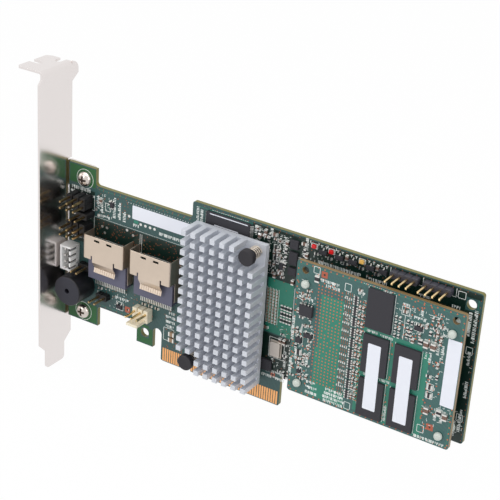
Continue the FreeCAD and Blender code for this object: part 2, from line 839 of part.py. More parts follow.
def mini_sas_bodies():
    """Plastic bodies between the shells' walls, each with the blade that carries the contacts."""
    bodies = []
    side = shell_width / 2 - shell_sheet - body_clearance
    wide = shell_width / 2 - shell_sheet - body_front_inset
    top = shell_ear_bottom - shell_sheet
    blade_y = -(shell_reach + blade_thickness) / 2
    for centre in sas_centres:
        rear = box((centre - side, centre + side), (-shell_wall_reach, 0), (body_bottom, top))
        front = box((centre - wide, centre + wide), (-body_reach, -shell_wall_reach), (body_bottom, top))
        blade = box((centre - blade_width / 2, centre + blade_width / 2),
                    (blade_y, blade_y + blade_thickness), (top, top + blade_height))
        bodies.append(rear.multiFuse([front, blade]).removeSplitter())
    return Part.makeCompound(bodies)


def mini_sas_tails():
    """Bent contact tails from each body's lower face down to the board."""
    leg_y = -shell_wall_reach + tail_setback
    rear_y = leg_y + tail_sheet
    profile = [(leg_y, body_bottom), (rear_y, body_bottom), (rear_y, tail_foot_top),
               (0, tail_foot_bottom + tail_sheet), (0, tail_foot_bottom), (leg_y, tail_foot_top - tail_sheet)]
    tails = []
    for centre in sas_centres:
        first = centre - (tail_count - 1) * tail_pitch / 2
        for i in range(tail_count):
            x = first + i * tail_pitch - tail_width / 2
            points = [V(x, y, z) for y, z in profile]
            tails.append(Part.Face(Part.makePolygon(points + points[:1])).extrude(V(tail_width, 0, 0)))
    return Part.makeCompound(tails)


def header_bodies(headers):
    return Part.makeCompound([header_body(x, z, count, across, height)
                              for x, z, count, across, height, reach in headers])


def header_pins(headers):
    pins = []
    for x, z, count, across, height, reach in headers:
        pins += pin_row(x, z, count, across, reach)
    return Part.makeCompound(pins)


def wafer_connector():
    """A shrouded body with a floor, four slots in one long wall and one chamfered rim corner."""
    x = (wafer_left, wafer_left + wafer_width)
    z = (wafer_bottom, wafer_bottom + wafer_length)
    body = box(x, (-wafer_height, 0), z)
    cavity = box((x[0] + wafer_wall, x[1] - wafer_wall), (-wafer_height, -wafer_floor),
                 (z[0] + wafer_wall, z[1] - wafer_wall))
    rim = [V(x[0], -wafer_height, z[0]), V(x[0] + wafer_chamfer, -wafer_height, z[0]),
           V(x[0], -wafer_height, z[0] + wafer_chamfer)]
    corner = Part.Face(Part.makePolygon(rim + rim[:1])).extrude(V(0, wafer_height, 0))
    cuts = [cavity, corner]
    for i in range(wafer_pin_count):
        middle = wafer_z + i * header_pitch
        cuts.append(box((x[1] - wafer_wall, x[1]), (-wafer_height, -wafer_height + wafer_slot_depth),
                        (middle - wafer_slot_width / 2, middle + wafer_slot_width / 2)))
        hole = pin_side / 2
        cuts.append(box((wafer_x - hole, wafer_x + hole), (-wafer_floor, 0),
                        (middle - hole, middle + hole)))
    return body.cut(Part.makeCompound(cuts))


def fan_connector():
    """A base for three pins with a friction wall along its lower side and grooves on the other."""
    width = (fan_pin_count - 1) * header_pitch + 2 * fan_margin
    x = (fan_left, fan_left + width)
    z = (fan_bottom, fan_bottom + fan_depth)
    base = box(x, (-fan_base, 0), z)
    wall = box((x[0] + fan_wall_margin, x[1] - fan_wall_margin), (-fan_wall_reach, -fan_base),
               (z[0], z[0] + fan_wall))
    cuts = []
    hole = pin_side / 2
    for i in range(fan_pin_count):
        px = fan_x + i * header_pitch
        cuts.append(box((px - hole, px + hole), (-fan_base, 0), (fan_z - hole, fan_z + hole)))
        if i:
            groove = px - header_pitch / 2
            cuts.append(box((groove - fan_groove_width / 2, groove + fan_groove_width / 2),
                            (-fan_base, 0), (z[1] - fan_groove_depth, z[1])))
    return base.fuse(wall).cut(Part.makeCompound(cuts))


def buzzer():
    """A moulded drum with a small sound hole in its face."""
    profile = [(0, 0), (buzzer_radius, 0), (buzzer_radius, -buzzer_height + buzzer_edge),
               (buzzer_radius - buzzer_edge, -buzzer_height), (buzzer_mouth_radius, -buzzer_height),
               (buzzer_mouth_radius, -buzzer_height + buzzer_mouth_depth),
               (0, -buzzer_height + buzzer_mouth_depth)]
    return turned(profile, buzzer_x, buzzer_z)


def buzzer_pins():
    half = buzzer_pin_side / 2
    length = (0, board_thickness + pin_tail)
    return Part.makeCompound([box((x - half, x + half), length, (z - half, z + half))
                              for x, z in buzzer_pin_places()])


def sloped_lead(x, z, face, height, reach, width, direction):
    """One lead from half way up a package's side down to the board, along direction (dx, dz)."""
    dx, dz = direction
    run = [(0, height / 2 + lead_sheet), (reach, 0), (reach * (1 - lead_foot_share), 0), (0, height / 2)]
    side = V(-dz, 0, dx) * width
    points = [V(x + dx * along, -face - up, z + dz * along) - side * 0.5 for along, up in run]
    return Part.Face(Part.makePolygon(points + points[:1])).extrude(side)


def flash_chip():
    x = (flash_left, flash_left + flash_width)
    z_top = board_top - flash_drop
    return box(x, (-flash_thickness, 0), (z_top - flash_height, z_top))


def flash_leads():
    """A comb of leads at each end of the flash package."""
    z_middle = board_top - flash_drop - flash_height / 2
    first = z_middle - (flash_leads_per_side - 1) * flash_lead_pitch / 2
    leads = []
    for i in range(flash_leads_per_side):
        z = first + i * flash_lead_pitch
        for x, direction in ((flash_left, -1), (flash_left + flash_width, 1)):
            leads.append(sloped_lead(x, z, 0, flash_thickness, flash_lead_reach, flash_lead_width,
                                     (direction, 0)))
    return Part.makeCompound(leads)


def crystal_can():
    """A metal lid seamed on a slightly larger base."""
    left = sink_right + crystal_gap
    x = (left, left + crystal_width)
    z = (crystal_bottom, crystal_bottom + crystal_height)
    base = box(x, (-crystal_base, 0), z)
    rim = crystal_rim
    lid = box((x[0] + rim, x[1] - rim), (-crystal_base - crystal_lid, -crystal_base),
              (z[0] + rim, z[1] - rim))
    upright = [edge for edge in lid.Edges if abs(edge.tangentAt(0).y) > 0.5]
    return base.fuse(lid.makeChamfer(rim, upright))


def clock_chip():
    x = (clock_chip_left, clock_chip_left + clock_chip_side)
    z = (clock_chip_bottom, clock_chip_bottom + clock_chip_side)
    return box(x, (-power_chip_thickness, 0), z)


def power_chips():
    """Three dark power packages, one above another."""
    x = (power_chip_x - power_chip_width / 2, power_chip_x + power_chip_width / 2)
    chips = []
    z = power_chip_bottom
    for height in power_chip_heights:
        chips.append(box(x, (-power_chip_thickness, 0), (z, z + height)))
        z += height + power_chip_gap
    return Part.makeCompound(chips)


def lamps(places):
    """Lamps under the top edge, each by its distance before the first top header pin."""
    z = board_top - lamp_row_drop
    return Part.makeCompound([small_block(top_header_x - before, z, 0, lamp_width, lamp_depth,
                                          lamp_height, True) for before in places])


def transistors():
    """Three-lead packages in the row under the top edge."""
    z = board_top - transistor_row_drop
    half, deep = transistor_length / 2, transistor_width / 2
    pieces = []
    for before in transistors_before_header:
        x = top_header_x - before
        body = box((x - half, x + half), (-transistor_height, 0), (z - deep, z + deep))
        leads = [sloped_lead(x + side * transistor_lead_x, z - deep, 0, transistor_height, small_lead_reach,
                             small_lead_width, (0, -1)) for side in (-1, 1)]
        leads.append(sloped_lead(x, z + deep, 0, transistor_height, small_lead_reach,
                                 small_lead_width, (0, 1)))
        pieces.append(body.multiFuse(leads))
    return Part.makeCompound(pieces)


def small_block(x, z, face, length, width, height, along_x):
    half_x, half_z = (length / 2, width / 2) if along_x else (width / 2, length / 2)
    return box((x - half_x, x + half_x), (-face - height, -face), (z - half_z, z + half_z))


def ceramic_capacitors():
    """Columns of small filter capacitors beside the heatsink and two larger ones by the tongue."""
    small = [small_block(sink_right + gap, filter_bottom + i * filter_pitch, 0, filter_length,
                         filter_width, filter_height, False)
             for gap in filter_columns for i in range(filter_rows)]
    large = [small_block(tongue_capacitor_x, z, 0, capacitor_length, capacitor_width,
                         capacitor_height, True) for z in tongue_capacitors_z]
    return Part.makeCompound(small + large)


def chip_resistors():
    """A field of upright resistors by the filter capacitors and a column beside the power chips."""
    field = [small_block(sink_right + gap, array_bottom + i * array_pitch, 0, array_length,
                         resistor_width, resistor_height, False)
             for gap in array_columns for i in range(array_rows)]
    column = [small_block(power_chip_x + power_resistor_gap, power_chip_bottom + power_resistor_rise
                          + i * power_resistor_pitch, 0, resistor_length, resistor_width,
                          resistor_height, False) for i in range(power_resistor_count)]
    return Part.makeCompound(field + column)


def main_label():
    z = board_top - main_label_drop
    return box((main_label_left, main_label_left + main_label_width), (-label_thickness, 0),
               (z - main_label_height, z))


def memory_card():
    """The upright memory card, held off the main board by its posts."""
    x = (card_left, card_right)
    corners = [(x[0], card_bottom, card_radius), (x[1], card_bottom, card_radius),
               (x[1], card_top, card_radius), (x[0], card_top, card_radius)]
    card = outline(corners, in_xz(-card_gap)).extrude(V(0, -card_thickness, 0))
    through = (-card_face, -card_gap)
    cuts = [bored(px, pz, through, post_hole_radius, post_sides) for px, pz in post_places]
    z = card_top - plated_hole_drop
    cuts += [bored(px, z, through, plated_hole_radius, post_sides)
             for px in (x[0] + plated_hole_inset_left, x[1] - plated_hole_inset_right)]
    return card.cut(Part.makeCompound(cuts))


def standoffs():
    """Nylon posts: a thick middle between the boards and a snap head through each of them."""
    posts = []
    for x, z in post_places:
        front = card_face + post_clearance
        rear = board_thickness + post_clearance
        profile = [(0, -front - post_snap_length), (post_snap_tip_radius, -front - post_snap_length),
                   (post_snap_radius, -front - post_snap_shoulder), (post_snap_radius, -front),
                   (post_shaft_radius, -front), (post_shaft_radius, -card_gap), (post_radius, -card_gap),
                   (post_radius, 0), (post_shaft_radius, 0), (post_shaft_radius, rear),
                   (post_snap_radius, rear), (post_snap_radius, rear + post_snap_shoulder),
                   (post_snap_tip_radius, rear + post_snap_length), (0, rear + post_snap_length)]
        posts.append(faceted(profile, x, z, post_sides))
    return Part.makeCompound(posts)


def mezzanine_half(y, recessed):
    """One half of the stacking connector: the socket has a shallow well, the plug fills it."""
    x0 = card_left + mezzanine_left
    z0 = card_bottom + mezzanine_bottom
    wall = mezzanine_wall
    block = box((x0, x0 + mezzanine_width), y, (z0, z0 + mezzanine_length))
    well = (-mezzanine_split, -mezzanine_split + mezzanine_recess)
    island = box((x0 + wall, x0 + mezzanine_width - wall), well, (z0 + wall, z0 + mezzanine_length - wall))
    return block.cut(island) if recessed else block.fuse(island)


def memory_places():
    """Lower left corner of each memory package: three in one column, two in the next."""
    step = memory_height + memory_gap
    first = card_left + memory_column_left
    top = card_top - memory_top - memory_height
    column = [(first, top - i * step) for i in range(3)]
    return column + [(first + memory_width + memory_column_gap, top - i * step) for i in (1, 2)]


def memory_chips():
    return Part.makeCompound([box((x, x + memory_width), (-card_face - memory_thickness, -card_face),
                                  (z, z + memory_height)) for x, z in memory_places()])


def memory_labels():
    """A blank strip across the two lower packages of each column."""
    face = card_face + memory_thickness
    places = memory_places()
    labels = []
    pairs = ((places[1], places[2]), (places[3], places[4]))
    for (upper, lower), (below, above) in zip(pairs, memory_label_margins):
        x = lower[0] + memory_label_inset
        labels.append(box((x, x + memory_label_width), (-face - label_thickness, -face),
                          (lower[1] + below, upper[1] + memory_height - above)))
    return Part.makeCompound(labels)


def card_label():
    x = card_right - card_label_inset
    z = card_top - card_label_drop
    return box((x - card_label_width, x), (-card_face - label_thickness, -card_face),
               (z - card_label_height, z))


def eight_lead_chip():
    """A small package with four leads on its upper and on its lower side."""
    x = card_left + eight_lead_x
    z = card_top - eight_lead_drop
    half, deep = eight_lead_width / 2, eight_lead_height / 2
    body = box((x - half, x + half), (-card_face - eight_lead_thickness, -card_face), (z - deep, z + deep))
    leads = []
    for i in range(4):
        px = x + (i - 1.5) * eight_lead_pitch
        for side in (-1, 1):
            leads.append(sloped_lead(px, z + side * deep, card_face, eight_lead_thickness,
                                     eight_lead_reach, small_lead_width, (0, side)))
    return body.multiFuse(leads)


def resistor_packs():
    """A column of resistor packs between the stacking connector and the memory."""
    x = card_left + pack_left
    z = card_bottom + pack_bottom
    return Part.makeCompound([small_block(x, z + i * pack_pitch, card_face, pack_width, pack_height,
                                          pack_thickness, True) for i in range(pack_rows)])


def card_capacitors():
    """Brown capacitors beside the memory columns."""
    places = [(memory_right + gap, card_top - upper_card_capacitors_drop) for gap in upper_card_capacitors]
    places += [(memory_right + gap, card_bottom + lower_card_capacitors_rise)
               for gap in lower_card_capacitors]
    return Part.makeCompound([small_block(x, z, card_face, capacitor_length, capacitor_width,
                                          capacitor_height, False) for x, z in places])


nodes = {
    "main_board": main_board(),
    "edge_contacts": edge_contacts(),
    "bracket": bracket(),
    "bracket_screws": bracket_screws(),
    "heatsink": heatsink(),
    "push_pins": push_pins(),
    "push_pin_springs": push_pin_springs(),
    "controller_chip": controller_chip(),
    "thermal_pad": thermal_pad(),
    "mini_sas_shell_left": mini_sas_shell(sas_centres[0]),
    "mini_sas_shell_right": mini_sas_shell(sas_centres[1]),
    "mini_sas_bodies": mini_sas_bodies(),
    "mini_sas_tails": mini_sas_tails(),
    "jumper_headers": header_bodies(jumper_headers),
    "jumper_header_pins": header_pins(jumper_headers),
    "lamp_headers": header_bodies(lamp_headers),
    "lamp_header_pins": header_pins(lamp_headers),
    "top_headers": header_bodies(top_headers),
    "top_header_pins": header_pins(top_headers),
    "wafer_connector": wafer_connector(),
    "wafer_pins": Part.makeCompound(pin_row(wafer_x, wafer_z, wafer_pin_count, False, wafer_pin_reach)),
    "fan_connector": fan_connector(),
    "fan_connector_pins": Part.makeCompound(pin_row(fan_x, fan_z, fan_pin_count, True, fan_pin_reach)),
    "buzzer": buzzer(),
    "buzzer_pins": buzzer_pins(),
    "flash_chip": flash_chip(),
    "flash_leads": flash_leads(),
    "crystal_can": crystal_can(),
    "clock_chip": clock_chip(),
    "power_chips": power_chips(),
    "red_lamps": lamps(red_lamps_before_header),
    "yellow_lamp": lamps((yellow_lamp_before_header,)),
    "transistors": transistors(),
    "ceramic_capacitors": ceramic_capacitors(),
    "chip_resistors": chip_resistors(),
    "main_label": main_label(),
    "memory_card": memory_card(),
    "standoffs": standoffs(),
    "card_plug": mezzanine_half((-card_gap, -mezzanine_split), False),
    "board_socket": mezzanine_half((-mezzanine_split, 0), True),
    "memory_chips": memory_chips(),
    "memory_labels": memory_labels(),
    "card_label": card_label(),
    "eight_lead_chip": eight_lead_chip(),
    "resistor_packs": resistor_packs(),
    "card_capacitors": card_capacitors(),
}

os.makedirs("parts", exist_ok=True)
to_origin = V(-key_x, -board_thickness / 2, -tongue_bottom)
for name, shape in nodes.items():
    shape.translate(to_origin)
    shape.exportStep("parts/" + name + ".step")
    print(name, len(shape.Solids), "solids", round(shape.Volume, 2), "mm3")
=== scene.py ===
import math
import bpy
import bmesh
import numpy as np
from mathutils import Matrix, Vector


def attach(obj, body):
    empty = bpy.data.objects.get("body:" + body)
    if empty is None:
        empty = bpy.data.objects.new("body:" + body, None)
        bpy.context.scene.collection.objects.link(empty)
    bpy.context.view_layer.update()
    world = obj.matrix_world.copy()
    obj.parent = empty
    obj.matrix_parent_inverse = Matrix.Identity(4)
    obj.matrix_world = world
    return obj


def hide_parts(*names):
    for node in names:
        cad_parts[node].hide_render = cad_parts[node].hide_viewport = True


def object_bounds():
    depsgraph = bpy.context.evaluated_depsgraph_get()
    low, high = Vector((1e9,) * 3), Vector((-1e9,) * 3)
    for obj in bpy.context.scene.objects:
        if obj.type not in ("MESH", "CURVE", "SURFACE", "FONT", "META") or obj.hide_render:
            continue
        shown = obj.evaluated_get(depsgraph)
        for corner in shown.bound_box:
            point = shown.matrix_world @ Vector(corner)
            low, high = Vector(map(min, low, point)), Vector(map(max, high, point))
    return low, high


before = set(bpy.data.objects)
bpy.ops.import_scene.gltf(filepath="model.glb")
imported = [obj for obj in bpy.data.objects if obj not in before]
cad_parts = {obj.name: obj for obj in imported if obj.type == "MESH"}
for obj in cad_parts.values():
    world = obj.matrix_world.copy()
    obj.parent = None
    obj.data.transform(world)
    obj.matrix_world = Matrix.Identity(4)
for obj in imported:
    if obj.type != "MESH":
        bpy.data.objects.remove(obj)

cadBounds = [list(map(float, corner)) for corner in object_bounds()]

# Lengths are millimetres from the board's bracket-side edge (x), its parts face (y, parts at -y)
# and the lower ends of its edge contacts (z). toFrame moves them to the model's frame in metres.
layout = {"shift": (-57.0, -0.785, 0.4), "cardFace": -7.57, "boardRear": 1.57}
random = np.random.default_rng(7)


def toFrame(points):
    # metres = (millimetres + shift) / 1000
    return (np.asarray(points, float) + np.array(layout["shift"])) / 1000


def rgb(red, green, blue):
    # linear light = ((s + 0.055) / 1.055) to the power 2.4, or s / 12.92 near black
    s = np.array([red, green, blue], float) / 255
    linear = np.where(s <= 0.04045, s / 12.92, ((s + 0.055) / 1.055) ** 2.4)
    return (*[float(v) for v in linear], 1.0)


# Shared effects

def feed(tree, node, values):
    # each input, by number or name, takes a plain value or a link from another node's output
    for key, value in values.items():
        if hasattr(value, "is_linked"):
            tree.links.new(value, node.inputs[key])
        else:
            node.inputs[key].default_value = value


def addNode(tree, kind, values={}, **settings):
    # a new shader node with its settings and then its inputs
    node = tree.nodes.new("ShaderNode" + kind)
    for name, value in settings.items():
        setattr(node, name, value)
    feed(tree, node, values)
    return node


def reckon(tree, operation, *values):
    # one operation of arithmetic on outputs or plain values
    return addNode(tree, "Math", dict(enumerate(values)), operation=operation).outputs[0]


def place(name, data):
    # a new object, put in the scene
    piece = bpy.data.objects.new(name, data)
    bpy.context.scene.collection.objects.link(piece)
    return piece


grainSockets = {"INPUT": {"Vector": "Vector", "Base": "Color", "Scale": "Float", "Contrast": "Float",
                          "Patches": "Float", "Patch Scale": "Float", "Roughness": "Float"},
                "OUTPUT": {"Color": "Color", "Roughness": "Float", "Height": "Float"}}


def makeGrainGroup():
    # colour = base x (1 + contrast x (fine noise - 0.5)) x (1 + patches x (soft noise - 0.5))
    group = bpy.data.node_groups.new("surfaceGrain", "ShaderNodeTree")
    for side, kinds in grainSockets.items():
        for label, kind in kinds.items():
            group.interface.new_socket(name=label, in_out=side, socket_type="NodeSocket" + kind)
    source, result = group.nodes.new("NodeGroupInput").outputs, group.nodes.new("NodeGroupOutput")
    noises, shifts = [], []
    for scale, detail, amount in (("Scale", 3, "Contrast"), ("Patch Scale", 2, "Patches")):
        noise = addNode(group, "TexNoise", {"Vector": source["Vector"], "Scale": source[scale],
                                            "Detail": detail})
        noises.append(noise.outputs["Fac"])
        shifts.append(reckon(group, "MULTIPLY", reckon(group, "SUBTRACT", noises[-1], 0.5), source[amount]))
    total = reckon(group, "ADD", reckon(group, "ADD", *shifts), 1.0)
    tint = addNode(group, "VectorMath", {0: source["Base"], "Scale": total}, operation="SCALE")
    rough = reckon(group, "ADD", source["Roughness"], reckon(group, "MULTIPLY", shifts[1], 0.6))
    feed(group, result, {"Color": tint.outputs[0], "Roughness": rough, "Height": noises[0]})
    return group


grainGroup = makeGrainGroup()
finishes = {}


def finish(name, base, roughness, metallic=0.0, scale=900, contrast=0.12, patches=0.1, patchScale=60,
           bump=0.05, stretch=(1, 1, 1), specular=0.5, subsurface=0.0):
    # one material, kept by its name: its own shader, with the grain group on Object coordinates
    material = bpy.data.materials.new(name)
    material.use_nodes = True
    tree, shader = material.node_tree, material.node_tree.nodes["Principled BSDF"]
    mapping = addNode(tree, "Mapping", {"Vector": addNode(tree, "TexCoord").outputs["Object"],
                                        "Scale": stretch})
    grain = addNode(tree, "Group", {"Vector": mapping.outputs["Vector"], "Base": base, "Scale": scale,
                                    "Contrast": contrast, "Patches": patches, "Patch Scale": patchScale,
                                    "Roughness": roughness}, node_tree=grainGroup).outputs
    relief = addNode(tree, "Bump", {"Height": grain["Height"], "Strength": bump, "Distance": 0.0002})
    feed(tree, shader, {"Base Color": grain["Color"], "Roughness": grain["Roughness"],
                        "Normal": relief.outputs["Normal"], "Metallic": metallic,
                        "Specular IOR Level": specular, "Subsurface Weight": subsurface})
    if subsurface:
        feed(tree, shader, {"Subsurface Radius": (0.001, 0.001, 0.001)})
    finishes[name] = material
    return material


def boardFinish(name, mask, run, edge):
    # solder mask with faint copper runs on the two faces, cut laminate on the edges
    material = finish(name, mask, 0.36, scale=2500, contrast=0.1, patches=0.16, patchScale=90, bump=0.05)
    tree = material.node_tree
    grain, where = [next(node for node in tree.nodes if node.type == kind).outputs
                    for kind in ("GROUP", "TEX_COORD")]
    apart = addNode(tree, "SeparateXYZ", {"Vector": addNode(tree, "NewGeometry").outputs["Normal"]})
    facing = reckon(tree, "GREATER_THAN", reckon(tree, "ABSOLUTE", apart.outputs["Y"]), 0.7)

    def bands(direction, scale, distortion, low, high):
        # 0 outside the band, 1 inside, from a wave's height between low and high
        wave = addNode(tree, "TexWave", {"Vector": where["Object"], "Scale": scale, "Detail": 1,
                                         "Distortion": distortion, "Detail Scale": 0.6},
                       bands_direction=direction)
        ramp = addNode(tree, "ValToRGB", {"Fac": wave.outputs["Fac"]})
        for element, position, level in zip(ramp.color_ramp.elements, (low, high), (0, 1)):
            element.position = position
            element.color = (level, level, level, 1)
        return ramp.outputs["Color"]

    def blend(factor, first, second):
        # first where the factor is 0, second where it is 1
        values = {"Factor": factor, "A": first, "B": second}
        return addNode(tree, "Mix", values, data_type="RGBA").outputs["Result"]

    masked = blend(bands("DIAGONAL", 380, 9, 0.7, 0.85), grain["Color"], run)
    layers = blend(bands("Y", 420, 1.5, 0.3, 0.7), edge, [c * 0.6 for c in edge[:3]] + [1])
    feed(tree, tree.nodes["Principled BSDF"], {"Base Color": blend(facing, layers, masked)})


boardFinish("boardMask", rgb(45, 77, 76), rgb(49, 84, 82), rgb(124, 118, 46))
boardFinish("cardMask", rgb(54, 92, 89), rgb(58, 98, 94), rgb(150, 124, 82))
finish("brightMask", rgb(38, 122, 101), 0.35, scale=2500, patches=0.3)
finish("earMask", rgb(22, 88, 38), 0.35, scale=2500, patches=0.3)
# a darker mask colour, also laid as painted shade where the board lies in shadow
finish("darkMask", rgb(7, 34, 27), 0.35, scale=2500, patches=0.3)
finish("copperVia", rgb(198, 104, 68), 0.45, metallic=0.2, contrast=0.3)
finish("dimVia", rgb(150, 88, 60), 0.45, metallic=0.2, contrast=0.5, scale=1500)
finish("copperSquare", rgb(168, 84, 60), 0.5, contrast=0.2)
finish("silkInk", rgb(226, 230, 226), 0.6, contrast=0.1)
finish("gold", rgb(240, 176, 116), 0.3, metallic=0.85, stretch=(6, 1, 1), scale=400, contrast=0.3,
       patches=0.3, patchScale=300)
finish("dullGold", rgb(176, 150, 108), 0.32, metallic=1.0, contrast=0.2)
finish("pinGold", rgb(226, 198, 146), 0.3, metallic=1.0, contrast=0.2)
finish("bracketSteel", rgb(228, 222, 220), 0.2, metallic=1.0, scale=300, contrast=0.03, patches=0.04,
       patchScale=25, bump=0.01)
finish("screwSteel", rgb(206, 197, 190), 0.24, metallic=1.0, contrast=0.1)
# a darker steel for the screws' recess floors: painted shade
finish("recessSteel", rgb(92, 82, 76), 0.35, metallic=0.9, contrast=0.2)
finish("sinkAluminium", rgb(204, 207, 214), 0.42, metallic=0.35, stretch=(1, 8, 1), scale=700,
       contrast=0.12, patches=0.08, bump=0.06)
finish("nylonBlack", rgb(40, 38, 42), 0.5, contrast=0.1, specular=0.3)
finish("springSteel", rgb(196, 186, 174), 0.3, metallic=1.0)
finish("chipResin", rgb(50, 49, 54), 0.6, scale=3500, contrast=0.3, bump=0.12, specular=0.3)
finish("softPad", rgb(190, 190, 195), 0.8)
finish("shellTin", rgb(206, 190, 174), 0.36, metallic=0.92, scale=600, contrast=0.06, patches=0.14,
       patchScale=110, bump=0.03)
finish("slatePlastic", rgb(92, 92, 110), 0.5, contrast=0.1, specular=0.35)
finish("leadTin", rgb(226, 224, 220), 0.3, metallic=0.85)
finish("headerPlastic", rgb(22, 21, 23), 0.45, contrast=0.2, specular=0.35)
finish("topHeaderPlastic", rgb(52, 51, 60), 0.5, contrast=0.15)
finish("whitePlastic", rgb(250, 249, 248), 0.4, contrast=0.03, subsurface=0.1)
finish("ivoryPlastic", rgb(234, 224, 200), 0.42, contrast=0.05, subsurface=0.1)
finish("buzzerPlastic", rgb(40, 40, 49), 0.5, contrast=0.15, bump=0.1, specular=0.35)
# a darker copy of the buzzer plastic for the drum's side: painted shade
finish("drumSide", rgb(20, 20, 24), 0.4, contrast=0.15, specular=0.35)
finish("crystalMetal", rgb(192, 183, 174), 0.4, metallic=0.8, patches=0.2, patchScale=250)
finish("redResin", rgb(214, 16, 22), 0.25)
finish("yellowResin", rgb(232, 184, 96), 0.25)
finish("tanCeramic", rgb(150, 122, 96), 0.5, contrast=0.2)
finish("brownCeramic", rgb(112, 86, 74), 0.5, contrast=0.2)
finish("resistorGlaze", rgb(36, 36, 40), 0.35)
finish("labelPaper", rgb(228, 230, 238), 0.6, contrast=0.02, patches=0.02)
finish("whiteNylon", rgb(196, 202, 194), 0.35, contrast=0.06, patches=0.15, patchScale=400,
       subsurface=0.2)

nodeFinishes = {
    "main_board": "boardMask", "memory_card": "cardMask", "edge_contacts": "gold",
    "bracket": "bracketSteel", "bracket_screws": "screwSteel", "heatsink": "sinkAluminium",
    "push_pins": "nylonBlack", "push_pin_springs": "springSteel", "controller_chip": "chipResin",
    "thermal_pad": "softPad", "mini_sas_shell_left": "shellTin", "mini_sas_shell_right": "shellTin",
    "mini_sas_bodies": "slatePlastic", "mini_sas_tails": "leadTin", "jumper_headers": "headerPlastic",
    "jumper_header_pins": "dullGold", "lamp_headers": "headerPlastic", "lamp_header_pins": "dullGold",
    "top_headers": "topHeaderPlastic", "top_header_pins": "pinGold", "wafer_connector": "whitePlastic",
    "wafer_pins": "leadTin", "fan_connector": "ivoryPlastic", "fan_connector_pins": "pinGold",
    "buzzer": "buzzerPlastic", "buzzer_pins": "leadTin", "flash_chip": "chipResin",
    "flash_leads": "leadTin", "crystal_can": "crystalMetal", "clock_chip": "chipResin",
    "power_chips": "chipResin", "red_lamps": "redResin", "yellow_lamp": "yellowResin",
    "transistors": "chipResin", "ceramic_capacitors": "tanCeramic", "chip_resistors": "resistorGlaze",
    "main_label": "labelPaper", "standoffs": "whiteNylon", "card_plug": "headerPlastic",
    "board_socket": "headerPlastic", "memory_chips": "chipResin", "memory_labels": "labelPaper",
    "card_label": "labelPaper", "eight_lead_chip": "chipResin", "resistor_packs": "resistorGlaze",
    "card_capacitors": "brownCeramic",
}
for node, finishName in nodeFinishes.items():
    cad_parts[node].data.materials.clear()
    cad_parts[node].data.materials.append(finishes[finishName])
print("finishes on", len(nodeFinishes), "nodes")


# Makers of meshes

def addPiece(name, points, faces, finishName, slotName, node=None, smooth=0):
    # a mesh from layout millimetres that rides on the card and may stand for a CAD node;
    # smooth is the angle in degrees past which an edge stays sharp, or 0 for flat faces
    mesh = bpy.data.meshes.new(name)
    mesh.from_pydata(toFrame(points).tolist(), [], faces)
    shell = bmesh.new()
    shell.from_mesh(mesh)
    bmesh.ops.recalc_face_normals(shell, faces=shell.faces)
    shell.to_mesh(mesh)
    shell.free()
    piece = place(name, mesh)
    mesh.materials.append(finishes[finishName])
    if smooth:
        mesh.shade_smooth()
        mesh.set_sharp_from_angle(angle=math.radians(smooth))
    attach(piece, "root")
    if node:
        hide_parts(*([node] if isinstance(node, str) else node))
    return piece


def lofts(rings, loop=False):
    # rings[n, r, m] are n solids, each of r outlines with m points: quads join neighbours, and caps
    # or a loop close them
    rings = np.asarray(rings, float)
    n, r, m = rings.shape[:3]
    start = (np.arange(n) * r * m)[:, None, None]
    row, col = np.arange(r if loop else r - 1)[None, :, None], np.arange(m)[None, None, :]
    after, onward = (col + 1) % m, (row + 1) % r
    quads = np.stack(np.broadcast_arrays(start + row * m + col, start + row * m + after,
                                         start + onward * m + after, start + onward * m + col),
                     -1).reshape(-1, 4)
    if loop:
        return rings.reshape(-1, 3), quads.tolist()
    base = np.arange(n)[:, None] * r * m
    first, last = base + np.arange(m)[None, ::-1], base + (r - 1) * m + np.arange(m)[None, :]
    return rings.reshape(-1, 3), quads.tolist() + first.tolist() + last.tolist()


def joined(*parts):
    # several (points, faces) as one, with the face numbers moved on
    points, faces, count = [], [], 0
    for somePoints, someFaces in parts:
        points.append(np.asarray(somePoints, float).reshape(-1, 3))
        faces += [[index + count for index in face] for face in someFaces]
        count += len(points[-1])
    return np.concatenate(points), faces


def blocks(x, y, z, edge=0.0):
    # boxes from pairs of arrays; with an edge, the front face (-y) is chamfered by it
    x0, x1, y0, y1, z0, z1 = [np.atleast_1d(np.asarray(v, float)) for v in (*x, *y, *z)]
    x0, x1, y0, y1, z0, z1 = np.broadcast_arrays(x0, x1, y0, y1, z0, z1)

    def ring(inset, depth):
        # the four corners at one depth, moved in by inset
        xs = np.stack([x0 + inset, x1 - inset, x1 - inset, x0 + inset], -1)
        zs = np.stack([z0 + inset, z0 + inset, z1 - inset, z1 - inset], -1)
        return np.stack([xs, np.broadcast_to(np.asarray(depth)[:, None], xs.shape), zs], -1)

    rings = [ring(0, y1), ring(0, y0 + edge)] + ([ring(edge, y0)] if edge else [])
    return lofts(np.stack(rings, 1))


def turned(profile, places, sides):
    # circles of the profile's (radius, y) about each (x, z) place
    profile, places = np.asarray(profile, float), np.atleast_2d(places)
    angle = np.arange(sides) * 2 * np.pi / sides
    x = places[:, 0, None, None] + profile[None, :, 0, None] * np.cos(angle)
    z = places[:, 1, None, None] + profile[None, :, 0, None] * np.sin(angle)
    y = np.broadcast_to(profile[None, :, 1, None], x.shape)
    return lofts(np.stack([x, y, z], -1))


def flats(marks, face, thick):
    # thin plates from rows (x, z, width, height), standing thick off the face
    x, z, wide, high = np.atleast_2d(np.asarray(marks, float)).T
    return blocks((x - wide / 2, x + wide / 2), (face - thick, face), (z - high / 2, z + high / 2))


